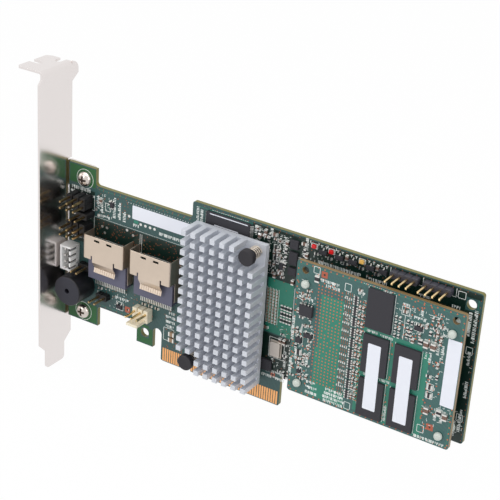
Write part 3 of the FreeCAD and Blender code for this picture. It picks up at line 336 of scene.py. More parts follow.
def rims(places, outer, inner, face, thick):
    # flat rims between two outlines [m, 2], about each (x, z) place
    outer, inner, places = np.asarray(outer, float), np.asarray(inner, float), np.atleast_2d(places)
    shapes = np.stack([outer, outer, inner, inner])
    depth = np.array([face, face - thick, face - thick, face])[None, :, None]
    x, z = (places[:, axis, None, None] + shapes[None, :, :, axis] for axis in (0, 1))
    return lofts(np.stack(np.broadcast_arrays(x, depth, z), -1), loop=True)


def circle(radius, sides):
    # points (radius cos t, radius sin t) at even steps of t
    angle = np.arange(sides) * 2 * np.pi / sides
    return radius * np.stack([np.cos(angle), np.sin(angle)], -1)


def oblong(wide, high, radius, steps):
    # a rectangle's outline with rounded corners, each of them steps + 1 points
    turn = (np.arange(4)[:, None] + np.linspace(0, 1, steps + 1)[None, :]) * np.pi / 2
    centre = np.array([[1, 1], [-1, 1], [-1, -1], [1, -1]]) * (np.array([wide, high]) / 2 - radius)
    corner = centre[:, None] + radius * np.stack([np.cos(turn), np.sin(turn)], -1)
    return corner.reshape(-1, 2)


def dashes(rows, gap=0.3):
    # rows (x, z, length, tall, upright) of short uneven bars, along x or, if upright, along z
    marks = []
    for x, z, length, tall, upright in rows:
        step = np.cumsum(tall * (0.28 + 0.34 * random.random(int(length / tall / 0.4))))
        step = step[step < length]
        wide = tall * (0.15 + 0.18 * random.random(step.size))
        drop = (random.random(step.size) < gap) * tall * 0.4
        along, across = step, np.zeros(step.size) + drop / 2
        size = (wide, tall - drop)
        if upright:
            marks.append(np.stack([x + across, z + along, size[1], size[0]], -1))
        else:
            marks.append(np.stack([x + along, z + across, size[0], size[1]], -1))
    return np.concatenate(marks)


def smallParts(rows, face, height, share=0.2, wider=0.04, prouder=0.03):
    # parts (x, z, width, height) with a body and an end cap on both ends of their longer side
    x, z, wide, high = np.atleast_2d(np.asarray(rows, float)).T
    upright = high > wide
    cap = np.where(upright, high, wide) * share
    half = np.where(upright, high, wide) / 2 - cap / 2
    halfX = np.where(upright, wide / 2, half - cap / 2)
    halfZ = np.where(upright, half - cap / 2, high / 2)
    body = blocks((x - halfX, x + halfX), (face - height, face), (z - halfZ, z + halfZ))
    ends = []
    for side in (-1, 1):
        cx, cz = x + np.where(upright, 0, side * half), z + np.where(upright, side * half, 0)
        ex = np.where(upright, wide / 2, cap / 2) + wider
        ez = np.where(upright, cap / 2, high / 2) + wider
        ends.append(blocks((cx - ex, cx + ex), (face - height - prouder, face), (cz - ez, cz + ez)))
    return body, joined(*ends)


def bentStrips(path, places, directions, width, thick):
    # a flat strip along path (out, rise): out runs along each direction (dx, dz), rise towards -y
    path, places, directions = np.asarray(path, float), np.atleast_2d(places), np.atleast_2d(directions)
    along = np.gradient(path, axis=0)
    along /= np.linalg.norm(along, axis=1)[:, None]
    normal = np.stack([-along[:, 1], along[:, 0]], -1) * thick / 2
    upper, lower = path + normal, path - normal
    section = np.stack([upper, upper, lower, lower], 1)
    side = np.array([-0.5, 0.5, 0.5, -0.5]) * width
    out, rise = section[None, :, :, 0], section[None, :, :, 1]
    dx, dz = directions[:, 0, None, None], directions[:, 1, None, None]
    x = places[:, 0, None, None] + dx * out - dz * side
    z = places[:, 2, None, None] + dz * out + dx * side
    y = places[:, 1, None, None] - rise
    return lofts(np.stack(np.broadcast_arrays(x, y, z), -1))


def dressed(name, node, edge, segments=2, angle=30):
    # a merged copy of a CAD node with its flat faces joined again and a fine bevel on its edges
    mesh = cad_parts[node].data.copy()
    shell = bmesh.new()
    shell.from_mesh(mesh)
    bmesh.ops.remove_doubles(shell, verts=shell.verts, dist=1e-6)
    bmesh.ops.dissolve_limit(shell, angle_limit=math.radians(2), verts=shell.verts, edges=shell.edges)
    shell.to_mesh(mesh)
    shell.free()
    mesh.materials.clear()
    mesh.materials.append(finishes[nodeFinishes[node]])
    piece = place(name, mesh)
    bevel = piece.modifiers.new("edges", "BEVEL")
    bevel.width = edge / 1000
    bevel.segments = segments
    bevel.limit_method = "ANGLE"
    bevel.angle_limit = math.radians(angle)
    bevel.use_clamp_overlap = True
    mesh.shade_flat()
    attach(piece, "root")
    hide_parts(node)
    return piece


# Fasteners and turned pieces

screw = {"places": [(7.45, 63.7), (7.45, 8.3)], "radius": 2.95, "rise": 2.0, "curve": 2.6, "cross": 1.6,
         "slot": 0.4, "walls": (0.07, 0.12), "depth": 1.1, "shank": 1.3, "rings": 60, "sides": 128,
         "floor": (-0.98, -0.7), "floorInset": 0.08, "ridgeDepth": 0.12,
         "ridges": (0, 0.2, 0.5, 0.8, 1.1, 1.4, 1.7, 2.0, 2.3, 2.6, 2.9, 3.2, 3.6)}


def makeScrews():
    # head height = rise x (1 - (r / radius)^curve)^0.5, less the depth of a cross with soft walls
    across = np.linspace(0, 1, screw["rings"])[::-1]
    angle = np.arange(screw["sides"]) * 2 * np.pi / screw["sides"]
    u = screw["radius"] * across[:, None] * np.cos(angle) + 0 * angle
    v = screw["radius"] * across[:, None] * np.sin(angle)
    dome = screw["rise"] * (1 - np.broadcast_to(across[:, None], u.shape) ** screw["curve"]) ** 0.5
    near, far = np.minimum(abs(u), abs(v)), np.maximum(abs(u), abs(v))
    beside, beyond = screw["walls"]
    cut = np.clip((screw["slot"] - near) / beside, 0, 1) * np.clip((screw["cross"] - far) / beyond, 0, 1)
    parts = []
    for x, z in screw["places"]:
        head = np.stack([x + u, -np.maximum(dome - screw["depth"] * cut, 0), z + v], -1)[None, :-1]
        parts.append(lofts(head))
        y = np.array(screw["ridges"])
        radius = screw["shank"] - screw["ridgeDepth"] * (np.arange(y.size) % 2)
        parts.append(turned(np.stack([radius, y], -1), [(x, z)], 24))
    addPiece("smoothScrews", *joined(*parts), "screwSteel", "screw_steel", "bracket_screws", smooth=40)
    # the recess's floor is two crossed bars, a little narrower than the recess, in a darker steel that is
    # painted shade
    x, z = np.array(screw["places"]).T
    long, narrow = screw["cross"] - beyond, screw["slot"] - screw["floorInset"]
    bars = [blocks((x - wide, x + wide), screw["floor"], (z - high, z + high))
            for wide, high in ((long, narrow), (narrow, long))]
    addPiece("screwRecessShade", *joined(*bars), "recessSteel", "screw_steel")


spring = {"places": [(62.95, 10.75), (85.75, 60.25)], "radius": 2.0, "wire": 0.24, "turns": 4.5,
          "from": -4.64, "to": -9.25, "steps": 20, "sides": 8}


def makeSprings():
    # centre line = radius x (cos t, sin t) while y runs evenly; each ring lies across it
    count = int(spring["turns"] * spring["steps"]) + 1
    turn = np.linspace(0, 2 * np.pi * spring["turns"], count)
    outward = np.stack([np.cos(turn), 0 * turn, np.sin(turn)], -1)
    rise = np.linspace(spring["from"], spring["to"], count)
    around = np.arange(spring["sides"]) * 2 * np.pi / spring["sides"]
    across, along = np.cos(around)[None, :, None], np.sin(around)[None, :, None]
    ring = outward[:, None] * across + np.array([0, 1, 0]) * along
    line = outward * spring["radius"] + np.stack([0 * turn, rise, 0 * turn], -1)
    coil = line[:, None] + spring["wire"] * ring
    shift = np.array([[x, 0, z] for x, z in spring["places"]])
    addPiece("coilSprings", *lofts(coil[None] + shift[:, None, None]), "springSteel", "spring_steel",
             "push_pin_springs", smooth=60)


turnings = {
    "pushPins": {"places": spring["places"], "sides": 40, "node": "push_pins", "finish": "nylonBlack",
                 "slot": "black_nylon",
                 "profile": [(0.5, -11.85), (2.2, -11.9), (2.72, -11.95), (2.95, -11.8), (3.04, -11.5),
                             (3.04, -9.8), (2.9, -9.55), (2.6, -9.5), (1.34, -9.5), (1.3, 1.7),
                             (1.85, 1.75), (1.88, 1.95), (1.5, 3.0), (0.85, 4.1), (0.5, 4.3)]},
    "nylonPosts": {"places": [(x, z) for x in (107.6, 161.9) for z in (17.6, 56.15)], "sides": 32,
                   "node": "standoffs", "finish": "whiteNylon", "slot": "white_nylon",
                   "profile": [(0.2, -9.36), (0.75, -9.3), (1.15, -9.05), (1.42, -8.55), (1.48, -8.0),
                               (1.4, -7.72), (1.1, -7.67), (1.1, -6.0), (2.45, -6.0), (2.58, -5.9),
                               (2.58, -0.1), (2.45, 0.0), (1.1, 0.0), (1.1, 1.67), (1.4, 1.72),
                               (1.48, 2.0), (1.42, 2.4), (1.15, 3.0), (0.75, 3.3), (0.2, 3.36)]},
    # the drum's side in the darker copy of its plastic, a painted shade
    "buzzerShadedSide": {"places": [(6.7, 20.3)], "sides": 72, "node": None, "finish": "drumSide",
                   "slot": "buzzer_plastic",
                   "profile": [(0.3, -5.0), (5.0, -5.0), (5.0, -9.3), (5.76, -9.39), (5.94, -9.15),
                               (5.99, -8.8), (5.99, -0.6), (5.9, -0.4), (5.9, 0.0), (0.3, 0.0)]},
    "buzzerDrum": {"places": [(6.7, 20.3)], "sides": 72, "node": "buzzer", "finish": "buzzerPlastic",
                   "slot": "buzzer_plastic",
                   "profile": [(0.3, -6.0), (0.95, -6.0), (1.0, -6.2), (1.02, -9.4), (1.15, -9.5),
                               (5.4, -9.5), (5.74, -9.4), (5.0, -9.3), (5.0, -5.1), (0.3, -5.1)]},
}


def makeTurnings():
    # each profile (radius, y) turned about its places
    for name, one in turnings.items():
        addPiece(name, *turned(one["profile"], one["places"], one["sides"]), one["finish"], one["slot"],
                 one["node"], smooth=35)


makeScrews()
makeSprings()
makeTurnings()
print("screws, springs, push pins, posts and buzzer made")


# Moulded, folded and cut pieces with fine edges

# by node: the piece's name, its slot and the width of its bevel
edges = {
    "heatsink": ("finnedSink", "sink_aluminium", 0.16),
    "mini_sas_bodies": ("socketBodies", "slate_plastic", 0.14),
    "mini_sas_shell_left": ("leftShell", "shell_tin", 0.05),
    "mini_sas_shell_right": ("rightShell", "shell_tin", 0.05),
    "jumper_headers": ("jumperBlocks", "header_plastic", 0.1),
    "lamp_headers": ("lampBlocks", "header_plastic", 0.1),
    "top_headers": ("topBlocks", "header_plastic", 0.1),
    "fan_connector": ("frictionBody", "ivory_plastic", 0.12),
    "flash_chip": ("flatChip", "chip_resin", 0.12),
    "clock_chip": ("clockChip", "chip_resin", 0.1),
    "power_chips": ("powerChips", "chip_resin", 0.1),
    "memory_chips": ("memoryChips", "chip_resin", 0.07),
    "crystal_can": ("crystalCan", "crystal_metal", 0.16),
    "bracket": ("foldedBracket", "bracket_steel", 0.09),
    "card_plug": ("cardPlug", "header_plastic", 0.12),
    "board_socket": ("boardSocket", "header_plastic", 0.12),
}
for node, (name, slotName, edge) in edges.items():
    dressed(name, node, edge)
print("edges softened on", len(edges), "nodes")


# Print, copper and small parts on the two boards

def grid(x, z, keep=1.0):
    # (x, z) places of a regular field, each kept with the given chance
    places = np.stack([v.ravel() for v in np.meshgrid(x, z)], -1)
    return places[random.random(len(places)) < keep]


def scatter(count, x0, x1, z0, z1):
    # places drawn evenly from a rectangle
    return np.stack([random.uniform(x0, x1, count), random.uniform(z0, z1, count)], -1)


def line(x0, x1, z, step=0.0, share=0.6):
    # rows for a printed line along x, whole or in dashes
    if not step:
        return [((x0 + x1) / 2, z, x1 - x0, 0.16)]
    return [(x, z, step * share, 0.16) for x in np.arange(x0 + step / 2, x1, step)]


def ticks(count, x0, x1, z0, z1):
    # short printed bars, across or upright, at random places
    size = np.where(random.random(count)[:, None] < 0.5, (0.13, 0.75), (0.75, 0.13))
    size = size * random.uniform(0.8, 1.3, (count, 1))
    return np.concatenate([scatter(count, x0, x1, z0, z1), size], -1).tolist()


def tiny(count, x0, x1, z0, z1, step=1.9):
    # small parts on a jittered lattice, across or upright
    places = grid(np.arange(x0, x1, step), np.arange(z0, z1, step))
    chosen = random.permutation(len(places))[:count]
    places = places[chosen] + random.uniform(-0.25, 0.25, (len(chosen), 2))
    size = np.where(random.random(len(places))[:, None] < 0.5, (0.65, 1.2), (1.2, 0.65))
    return np.concatenate([places, size], -1).tolist()


def upright(rows):
    # rows with x and z changed over, and width and height with them
    return [(z, x, high, wide) for x, z, wide, high in rows]


def pads(parts, length, reach=0.4):
    # a pad's row beyond both ends of every small part (x, z, width, height)
    x, z, wide, high = np.asarray(parts, float).T
    tall = high > wide
    out = np.where(tall, high, wide) / 2 + length * reach
    rows = [np.stack([x + side * out * ~tall, z + side * out * tall, np.where(tall, wide, length),
                      np.where(tall, length, high)], -1) for side in (-1, 1)]
    return np.concatenate(rows)


# patches of another mask: finish, board, rows (x, z, width, height)
mask = {
    "mainBright": ("brightMask", "main", [(93.9, 39.0, 10.4, 21.4), (19.5, 56.4, 1.6, 2.2),
                                          (31.2, 53.2, 2.0, 1.2)]),
    "mainEars": ("earMask", "main", [(6.4, 64.8, 12.0, 7.2), (7.0, 8.2, 13.6, 7.6), (34.0, 7.7, 1.7, 6.8),
                                     (39.4, 7.7, 1.7, 6.8), (36.7, 5.6, 3.6, 2.5), (36.7, 11.6, 3.6, 1.1)]),
    # these patches are partly the board's darker mask and partly painted shade: the shadow behind the card
    # and the shade round the jumper headers
    "mainDarkAndShade": ("darkMask", "main", [(33.0, 38.2, 42.0, 22.6), (90.0, 58.8, 18.4, 18.6),
                                      (93.4, 20.2, 11.6, 15.2), (6.2, 48.6, 11.8, 22.0),
                                      (130.5, 40.5, 62.6, 55.8), (164.5, 37.2, 5.3, 49.2),
                                      (164.5, 67.4, 5.3, 2.0)]),
    "cardBright": ("brightMask", "card", [
        (118.2, 44.0, 8.7, 20.4), (117.8, 26.5, 9.6, 14.6), (119.3, 17.3, 12.7, 5.6),
        (141.4, 30.5, 2.1, 33.0), (153.6, 30.0, 2.7, 32.0), (141.4, 46.8, 21.7, 2.1),
        (141.8, 30.3, 22.5, 2.1), (130.2, 30.2, 1.4, 30.0)]),
}
# the y of each board's parts face, and the x of the transistors in a row
faces = {"main": 0.0, "card": layout["cardFace"]}
transistorX = (109.2, 115.4, 120.6, 127.2, 132.0)

# printed rows of short strokes: board, rows (x, z, length, tall, 1 if upright)
ink = {
    "mainInk": ("main", [
        (0.7, 57.3, 11.5, 1.3, 0), (0.7, 59.3, 9.5, 1.3, 0), (13.6, 53.6, 5.0, 1.2, 1),
        (15.4, 52.0, 6.5, 1.2, 1), (21.2, 51.6, 8.4, 1.3, 1), (23.5, 51.2, 7.6, 1.3, 1),
        (25.8, 51.4, 4.6, 1.3, 1), (29.4, 51.7, 3.0, 1.2, 0), (41.4, 51.7, 10.0, 1.2, 0),
        (14.0, 51.0, 5.0, 1.0, 0), (21.8, 19.3, 6.8, 1.3, 0), (46.0, 15.3, 3.6, 1.1, 0),
        (46.0, 17.2, 4.2, 1.1, 0), (45.6, 19.2, 4.6, 1.1, 0), (47.0, 21.0, 3.0, 1.1, 0),
        (88.4, 10.6, 9.6, 1.1, 0), (90.0, 12.8, 8.0, 1.1, 0), (57.9, 60.0, 7.2, 1.1, 1),
        (59.6, 60.4, 6.4, 1.1, 1), (1.0, 39.5, 6.0, 1.0, 0), (82.2, 63.6, 4.0, 1.0, 1),
        (87.6, 54.6, 6.2, 1.1, 1), (88.6, 64.6, 3.6, 1.1, 1), (93.8, 52.0, 6.4, 1.1, 1),
        (94.0, 60.4, 6.0, 1.1, 1), (100.8, 52.6, 8.0, 1.1, 1), (92.6, 16.0, 5.6, 1.0, 1),
        (97.6, 15.6, 7.0, 1.0, 1), (99.6, 22.0, 5.0, 1.0, 1), (102.6, 64.0, 4.6, 1.1, 1),
        (107.0, 61.4, 17.0, 1.2, 0), (126.4, 61.4, 7.4, 1.2, 0), (145.0, 61.6, 4.6, 1.0, 0),
        (156.8, 61.5, 3.4, 1.1, 0), (164.0, 52.2, 9.6, 1.2, 1), (165.9, 50.4, 12.0, 1.2, 1),
        (165.4, 42.0, 5.4, 1.1, 1), (166.0, 29.6, 7.0, 1.1, 1), (165.4, 16.2, 9.0, 1.2, 1),
        (163.6, 14.2, 6.0, 1.1, 1)]),
    "cardInk": ("card", [
        (104.1, 20.0, 6.0, 1.1, 1), (104.0, 33.0, 10.0, 1.1, 1), (105.0, 50.6, 5.6, 1.2, 0),
        (112.6, 59.4, 7.4, 1.1, 0), (114.8, 57.9, 5.6, 1.1, 0), (110.4, 15.3, 5.0, 1.1, 0),
        (110.4, 17.3, 5.0, 1.1, 0), (110.6, 19.3, 4.0, 1.1, 0), (117.6, 14.6, 8.4, 1.1, 0),
        (117.6, 16.1, 8.4, 1.1, 0), (118.0, 17.6, 7.6, 1.1, 0), (118.4, 19.1, 6.4, 1.1, 0),
        (127.0, 59.4, 2.6, 1.2, 0), (131.6, 46.9, 4.4, 0.9, 0), (136.6, 46.7, 5.0, 0.9, 0),
        (136.0, 30.3, 6.4, 1.0, 0), (132.0, 30.4, 3.0, 1.0, 0), (141.6, 15.0, 6.6, 1.0, 1),
        (143.2, 60.8, 3.0, 0.9, 0), (147.6, 57.4, 4.4, 1.1, 0), (156.4, 56.8, 4.0, 1.1, 0),
        (158.4, 54.4, 4.0, 1.0, 0), (152.6, 14.3, 11.4, 1.1, 0), (157.6, 46.4, 4.4, 1.0, 1),
        (159.2, 45.4, 5.4, 1.0, 1), (153.6, 43.6, 3.0, 1.0, 1), (155.2, 42.6, 4.0, 1.0, 1),
        (129.0, 20.6, 3.0, 1.0, 1), (159.6, 22.4, 2.2, 1.0, 1), (161.8, 22.0, 2.2, 1.0, 1),
        (107.2, 37.0, 2.6, 1.0, 1), (105.8, 26.0, 4.4, 1.0, 1), (110.4, 24.6, 5.4, 1.0, 1),
        (150.6, 58.0, 2.8, 1.0, 1), (136.0, 63.0, 3.0, 0.9, 0)]),
}
# other printed marks, rows (x, z, width, height)
inkLines = {
    "mainInk": line(12.0, 53.0, 49.9, 0.5) + line(12.4, 52.4, 41.6) + upright(line(41.2, 58.2, 12.0)) +
    upright(line(38.0, 49.0, 33.2)) + upright(line(38.0, 49.0, 34.0)) + line(12.6, 31.0, 41.0) +
    line(63.8, 79.5, 67.7, 0.9, 0.7) + line(63.8, 79.5, 54.7, 0.9, 0.7) +
    line(27.0, 58.5, 60.0, 1.15, 0.35) +
    [(105.5 + d, 67.9, 0.24, 0.9) for d in (-1.6, 1.6)] +
    [(112.2 + d, 67.9, 0.24, 0.9) for d in (-1.6, 1.6)] +
    [(x + d, 67.75, 0.9, 0.22) for x in transistorX for d in (-0.9, 0.9)] +
    [(x + d, 67.35, 0.22, 0.8) for x in transistorX for d in (-0.9, 0.9)] +
    [row for x in (88.5, 89.7, 90.9, 92.1, 93.3) for row in upright(line(31.9, 45.9, x))] +
    ticks(110, 82.0, 96.0, 50.5, 67.6) + ticks(46, 93.4, 102.0, 13.6, 33.0) +
    ticks(26, 99.6, 103.4, 50.0, 68.0) + ticks(40, 101.0, 134.0, 60.6, 65.0) +
    ticks(26, 0.8, 12.0, 37.0, 60.0) + ticks(24, 13.0, 20.0, 51.0, 60.0) +
    ticks(24, 12.6, 31.0, 13.6, 22.4) + ticks(18, 162.6, 166.6, 14.0, 56.0) +
    [(x, 66.6, 0.2, 3.0) for x in (134.4, 146.3, 158.2)] + line(134.4, 158.2, 65.0) +
    [(99.4, 39.5, 0.2, 18.0)],
    "cardInk": [(x + d, z, 0.18, 14.8)
                for x, z in ((135.9, 55.6), (135.9, 38.8), (135.9, 22.0), (147.6, 38.8), (147.6, 22.0))
                for d in (-5.0, 5.0)] +
    ticks(80, 104.6, 111.6, 19.4, 57.6) + ticks(90, 141.4, 160.0, 47.8, 61.6) +
    ticks(110, 122.7, 130.8, 18.0, 58.6) + ticks(44, 154.8, 160.2, 20.0, 46.0) +
    ticks(16, 160.6, 165.2, 22.0, 28.6) +
    upright(line(48.0, 57.0, 144.9)) + line(128.6, 140.8, 63.4, 0.8, 0.5) + [(155.0, 60.0, 4.2, 0.16)],
}
# printed frames, rows (x, z, width, height)
frames = {
    "mainFrames": ("main", [(18.3, 55.2, 2.6, 3.2), (24.7, 16.2, 3.4, 3.6), (160.2, 66.3, 2.8, 2.6),
                            (165.3, 47.6, 2.4, 2.8), (105.5, 66.7, 2.6, 2.0), (112.2, 66.7, 2.6, 2.0),
                            (123.8, 66.7, 2.6, 2.0), (91.1, 59.5, 2.8, 6.4), (94.0, 22.7, 6.4, 8.2),
                            (47.6, 11.8, 4.8, 5.4), (165.3, 22.0, 2.4, 2.8)]),
    "cardFrames": ("card", [(111.3, 62.4, 2.5, 2.6), (123.4, 59.9, 2.5, 2.9), (155.1, 17.6, 2.6, 2.9),
                            (127.4, 15.7, 2.4, 2.8), (144.9, 58.5, 3.0, 3.2), (150.1, 54.3, 3.6, 3.2),
                            (153.6, 49.5, 2.1, 3.0), (156.2, 49.5, 2.1, 3.0), (156.6, 34.3, 2.6, 2.6),
                            (156.6, 31.1, 2.6, 2.6), (160.9, 26.0, 2.4, 3.0), (110.3, 37.2, 4.0, 2.4),
                            (106.8, 34.4, 3.0, 3.0), (107.8, 22.6, 2.2, 2.6)]),
}
# plated holes, places (x, z)
copper = {
    "mainCopper": ("main", np.concatenate([
        [(x, 61.2) for x in (14.2, 16.0, 18.4, 21.1, 23.6, 26.1, 28.7, 31, 32.5, 34, 35.7, 37.6, 39.4,
                             41.2, 43, 45, 47, 49.5, 52, 54.5)],
        scatter(330, 12.5, 53.5, 30.0, 49.2), scatter(60, 14.0, 58.0, 13.4, 24.0),
        scatter(36, 12.6, 28.0, 52.0, 60.5), scatter(70, 89.8, 102.0, 14.0, 67.6),
        scatter(26, 100.0, 133.0, 60.6, 66.0), scatter(40, 46.0, 58.0, 3.6, 12.0),
        grid(np.arange(60.6, 166.6, 2.6), [68.15]), grid(np.arange(13.4, 56.0, 2.6), [61.75], 0.8),
        grid([166.9], np.arange(13.6, 68.0, 2.4)), grid(np.arange(15.4, 32.0, 2.6), [13.1])])),
    "cardCopper": ("card", np.concatenate([
        grid(112.6 + 1.27 * np.arange(8), 57.2 - 1.275 * np.arange(30), 0.9),
        grid(112.0 + 1.27 * np.arange(6), [61.0, 59.7, 58.5], 0.5),
        grid([128.4, 129.5, 130.4], np.arange(19.0, 58.0, 1.5), 0.7),
        grid([123.4, 124.4], np.arange(19.8, 57.0, 3.05), 0.8), scatter(46, 104.6, 111.6, 18.0, 56.0),
        scatter(52, 142.2, 160.0, 48.6, 63.0), scatter(40, 154.6, 160.0, 16.0, 46.0),
        scatter(14, 140.8, 142.0, 15.0, 46.0),
        grid(np.arange(105.0, 165.2, 2.3), [63.4, 14.0]),
        grid([104.3, 165.2], np.arange(15.0, 63.0, 2.3))])),
}
# round pads: board, radius, places (x, z)
rounds = {
    "mainPads": ("main", 0.55, [(12.9, 52.8), (13.9, 50.7), (28.0, 54.6), (33.3, 52.8), (35.4, 52.8),
                                (37.5, 52.8), (39.5, 52.8), (2.6, 48.5), (15.8, 46.8), (18.0, 46.8),
                                (17.0, 44.5), (27.2, 48.7), (30.0, 47.4)]),
    "goldDots": ("main", 0.34, [(13.5, 45.0), (13.6, 43.2), (35.0, 45.0), (35.0, 43.4), (35.2, 41.6),
                                (43.4, 58.2), (55.0, 48.0)]),
}

# square pads, rows (x, z, width, height)
squares = {"main": [(28.4, 15.8, 2.4, 2.4), (93.3, 11.6, 1.8, 1.6)],
           "card": [(114.25, 61.6, 2.3, 2.3), (158.4, 19.4, 2.4, 2.4)]}

# small parts: board, finish of the body, height, rows (x, z, width, height)
small = {
    "mainBrown": ("main", "brownCeramic", 0.7, [
        (15.2, 57.2, 1.0, 1.8), (90.0, 66.4, 1.8, 1.0), (95.2, 64.6, 1.0, 1.8), (97.0, 26.4, 1.0, 1.8),
        (95.4, 26.4, 1.0, 1.8), (101.8, 66.4, 1.8, 1.0), (103.0, 62.4, 1.0, 1.8), (93.4, 52.6, 1.8, 1.0),
        (98.4, 50.6, 1.0, 1.8), (91.0, 51.0, 1.0, 1.8), (99.8, 14.8, 1.0, 1.8), (101.4, 18.6, 1.0, 1.8),
        (86.4, 66.2, 1.0, 1.8), (84.0, 64.0, 1.0, 1.8), (89.0, 29.8, 1.8, 1.0), (118.2, 66.3, 1.0, 1.8),
        (129.8, 66.3, 1.0, 1.8)] + [(x, z, 1.0, 1.8) for x in (82.0, 84.4, 86.8) for z in (56.6, 53.6)] +
        tiny(22, 83.0, 95.6, 51.5, 67.0)),
    "mainBlack": ("main", "resistorGlaze", 0.45, [
        (4.6, 41.2, 0.9, 1.5), (6.2, 41.2, 0.9, 1.5), (15.6, 20.9, 1.5, 0.9), (19.4, 57.4, 0.9, 1.5),
        (90.8, 62.0, 1.6, 0.55), (90.8, 61.0, 1.6, 0.55), (90.8, 60.0, 1.6, 0.55), (90.8, 59.0, 1.6, 0.55),
        (90.8, 58.0, 1.6, 0.55), (90.8, 57.0, 1.6, 0.55), (94.8, 58.6, 0.9, 1.5), (94.8, 56.2, 0.9, 1.5),
        (94.8, 61.6, 0.9, 1.5), (92.4, 64.6, 1.5, 0.9), (106.6, 64.2, 1.5, 0.9), (111.8, 64.0, 1.5, 0.9),
        (117.8, 64.0, 1.5, 0.9), (123.8, 64.2, 1.5, 0.9), (129.6, 63.8, 1.5, 0.9), (100.6, 24.6, 0.9, 1.5),
        (102.0, 24.6, 0.9, 1.5), (97.6, 21.0, 1.5, 0.9), (98.4, 12.4, 1.5, 0.9), (36.0, 21.0, 1.5, 0.9),
        (39.0, 21.0, 1.5, 0.9), (42.0, 21.0, 1.5, 0.9)] +
        tiny(14, 84.0, 95.0, 52.4, 66.0) + tiny(8, 95.8, 102.4, 14.0, 32.0)),
    "cardBrown": ("card", "brownCeramic", 0.6, [
        (144.9, 58.5, 1.4, 1.1), (148.6, 48.9, 1.0, 1.5), (110.8, 33.0, 0.8, 1.4), (105.6, 45.4, 0.8, 1.4),
        (157.0, 54.4, 0.8, 1.4), (153.0, 56.0, 0.8, 1.4), (109.4, 29.0, 0.8, 1.4), (110.8, 21.0, 0.8, 1.4),
        (128.0, 60.6, 1.4, 0.8), (158.4, 43.0, 0.8, 1.4)] +
        [(x, z, 0.7, 1.25) for z in np.arange(20.6, 57.0, 3.05) for x in (128.6, 129.9)] +
        tiny(14, 105.2, 111.4, 20.0, 56.0) + tiny(12, 150.8, 159.6, 51.6, 61.0)),
    "cardBlack": ("card", "resistorGlaze", 0.42, [
        (111.7, 59.3, 1.6, 2.4), (108.3, 40.3, 1.4, 1.0), (107.0, 29.6, 2.0, 2.0), (151.3, 49.5, 1.4, 1.6),
        (156.6, 34.3, 1.6, 1.6), (156.6, 31.1, 1.6, 1.6), (160.9, 26.0, 1.6, 1.8), (110.5, 43.6, 0.8, 1.4),
        (107.0, 43.2, 1.4, 0.8), (105.8, 38.2, 0.8, 1.4), (105.8, 31.8, 0.8, 1.4), (109.2, 25.8, 0.8, 1.4),
        (107.4, 26.4, 0.8, 1.4), (154.4, 53.6, 0.8, 1.4), (155.8, 55.8, 1.4, 0.8), (146.9, 51.0, 0.8, 1.4),
        (158.6, 38.6, 0.8, 1.4), (155.6, 38.2, 1.6, 0.9)] +
        [(x, z, 0.65, 1.2) for x in (141.9, 143.3) for z in (48.6, 50.8, 53.0, 55.2)] +
        [(x, z, 0.65, 1.2) for x in (146.2, 147.6) for z in (49.8, 52.4, 55.0)] +
        tiny(12, 105.0, 111.6, 19.6, 44.0)),
}
# small chips: board, height, rows (x, z, width, height)
chips = {
    "mainChips": ("main", 0.9, [(24.7, 16.0, 2.6, 1.5), (20.3, 56.9, 1.5, 2.2), (93.6, 55.4, 1.6, 2.6),
                                (101.4, 21.4, 2.0, 1.4)]),
    "cardChips": ("card", 1.0, [(150.1, 54.1, 2.8, 1.6), (110.3, 37.2, 3.2, 1.6), (106.8, 34.4, 2.2, 2.2),
                                (107.8, 22.5, 1.3, 1.5)]),
}


# how far print and copper stand off a face, their line widths and corners, and radii of round marks
printed = {"mask": 0.01, "maskStep": 0.002, "ink": 0.035, "outline": 0.03, "outlineWidth": 0.24,
           "frameLine": 0.36, "frameCorners": (0.3, 0.2), "screwRing": (3.86, 3.68), "via": 0.025,
           "viaRadius": {"main": 0.2, "card": 0.28}, "pad": 0.045, "square": 0.02, "dot": 0.03,
           "dotRadius": 0.4, "edgeLine": 0.012}
cardEdge = {"centre": (134.7, 38.7), "outer": (60.6, 49.2, 0.6, 3), "inner": (60.2, 48.8, 0.5, 3)}


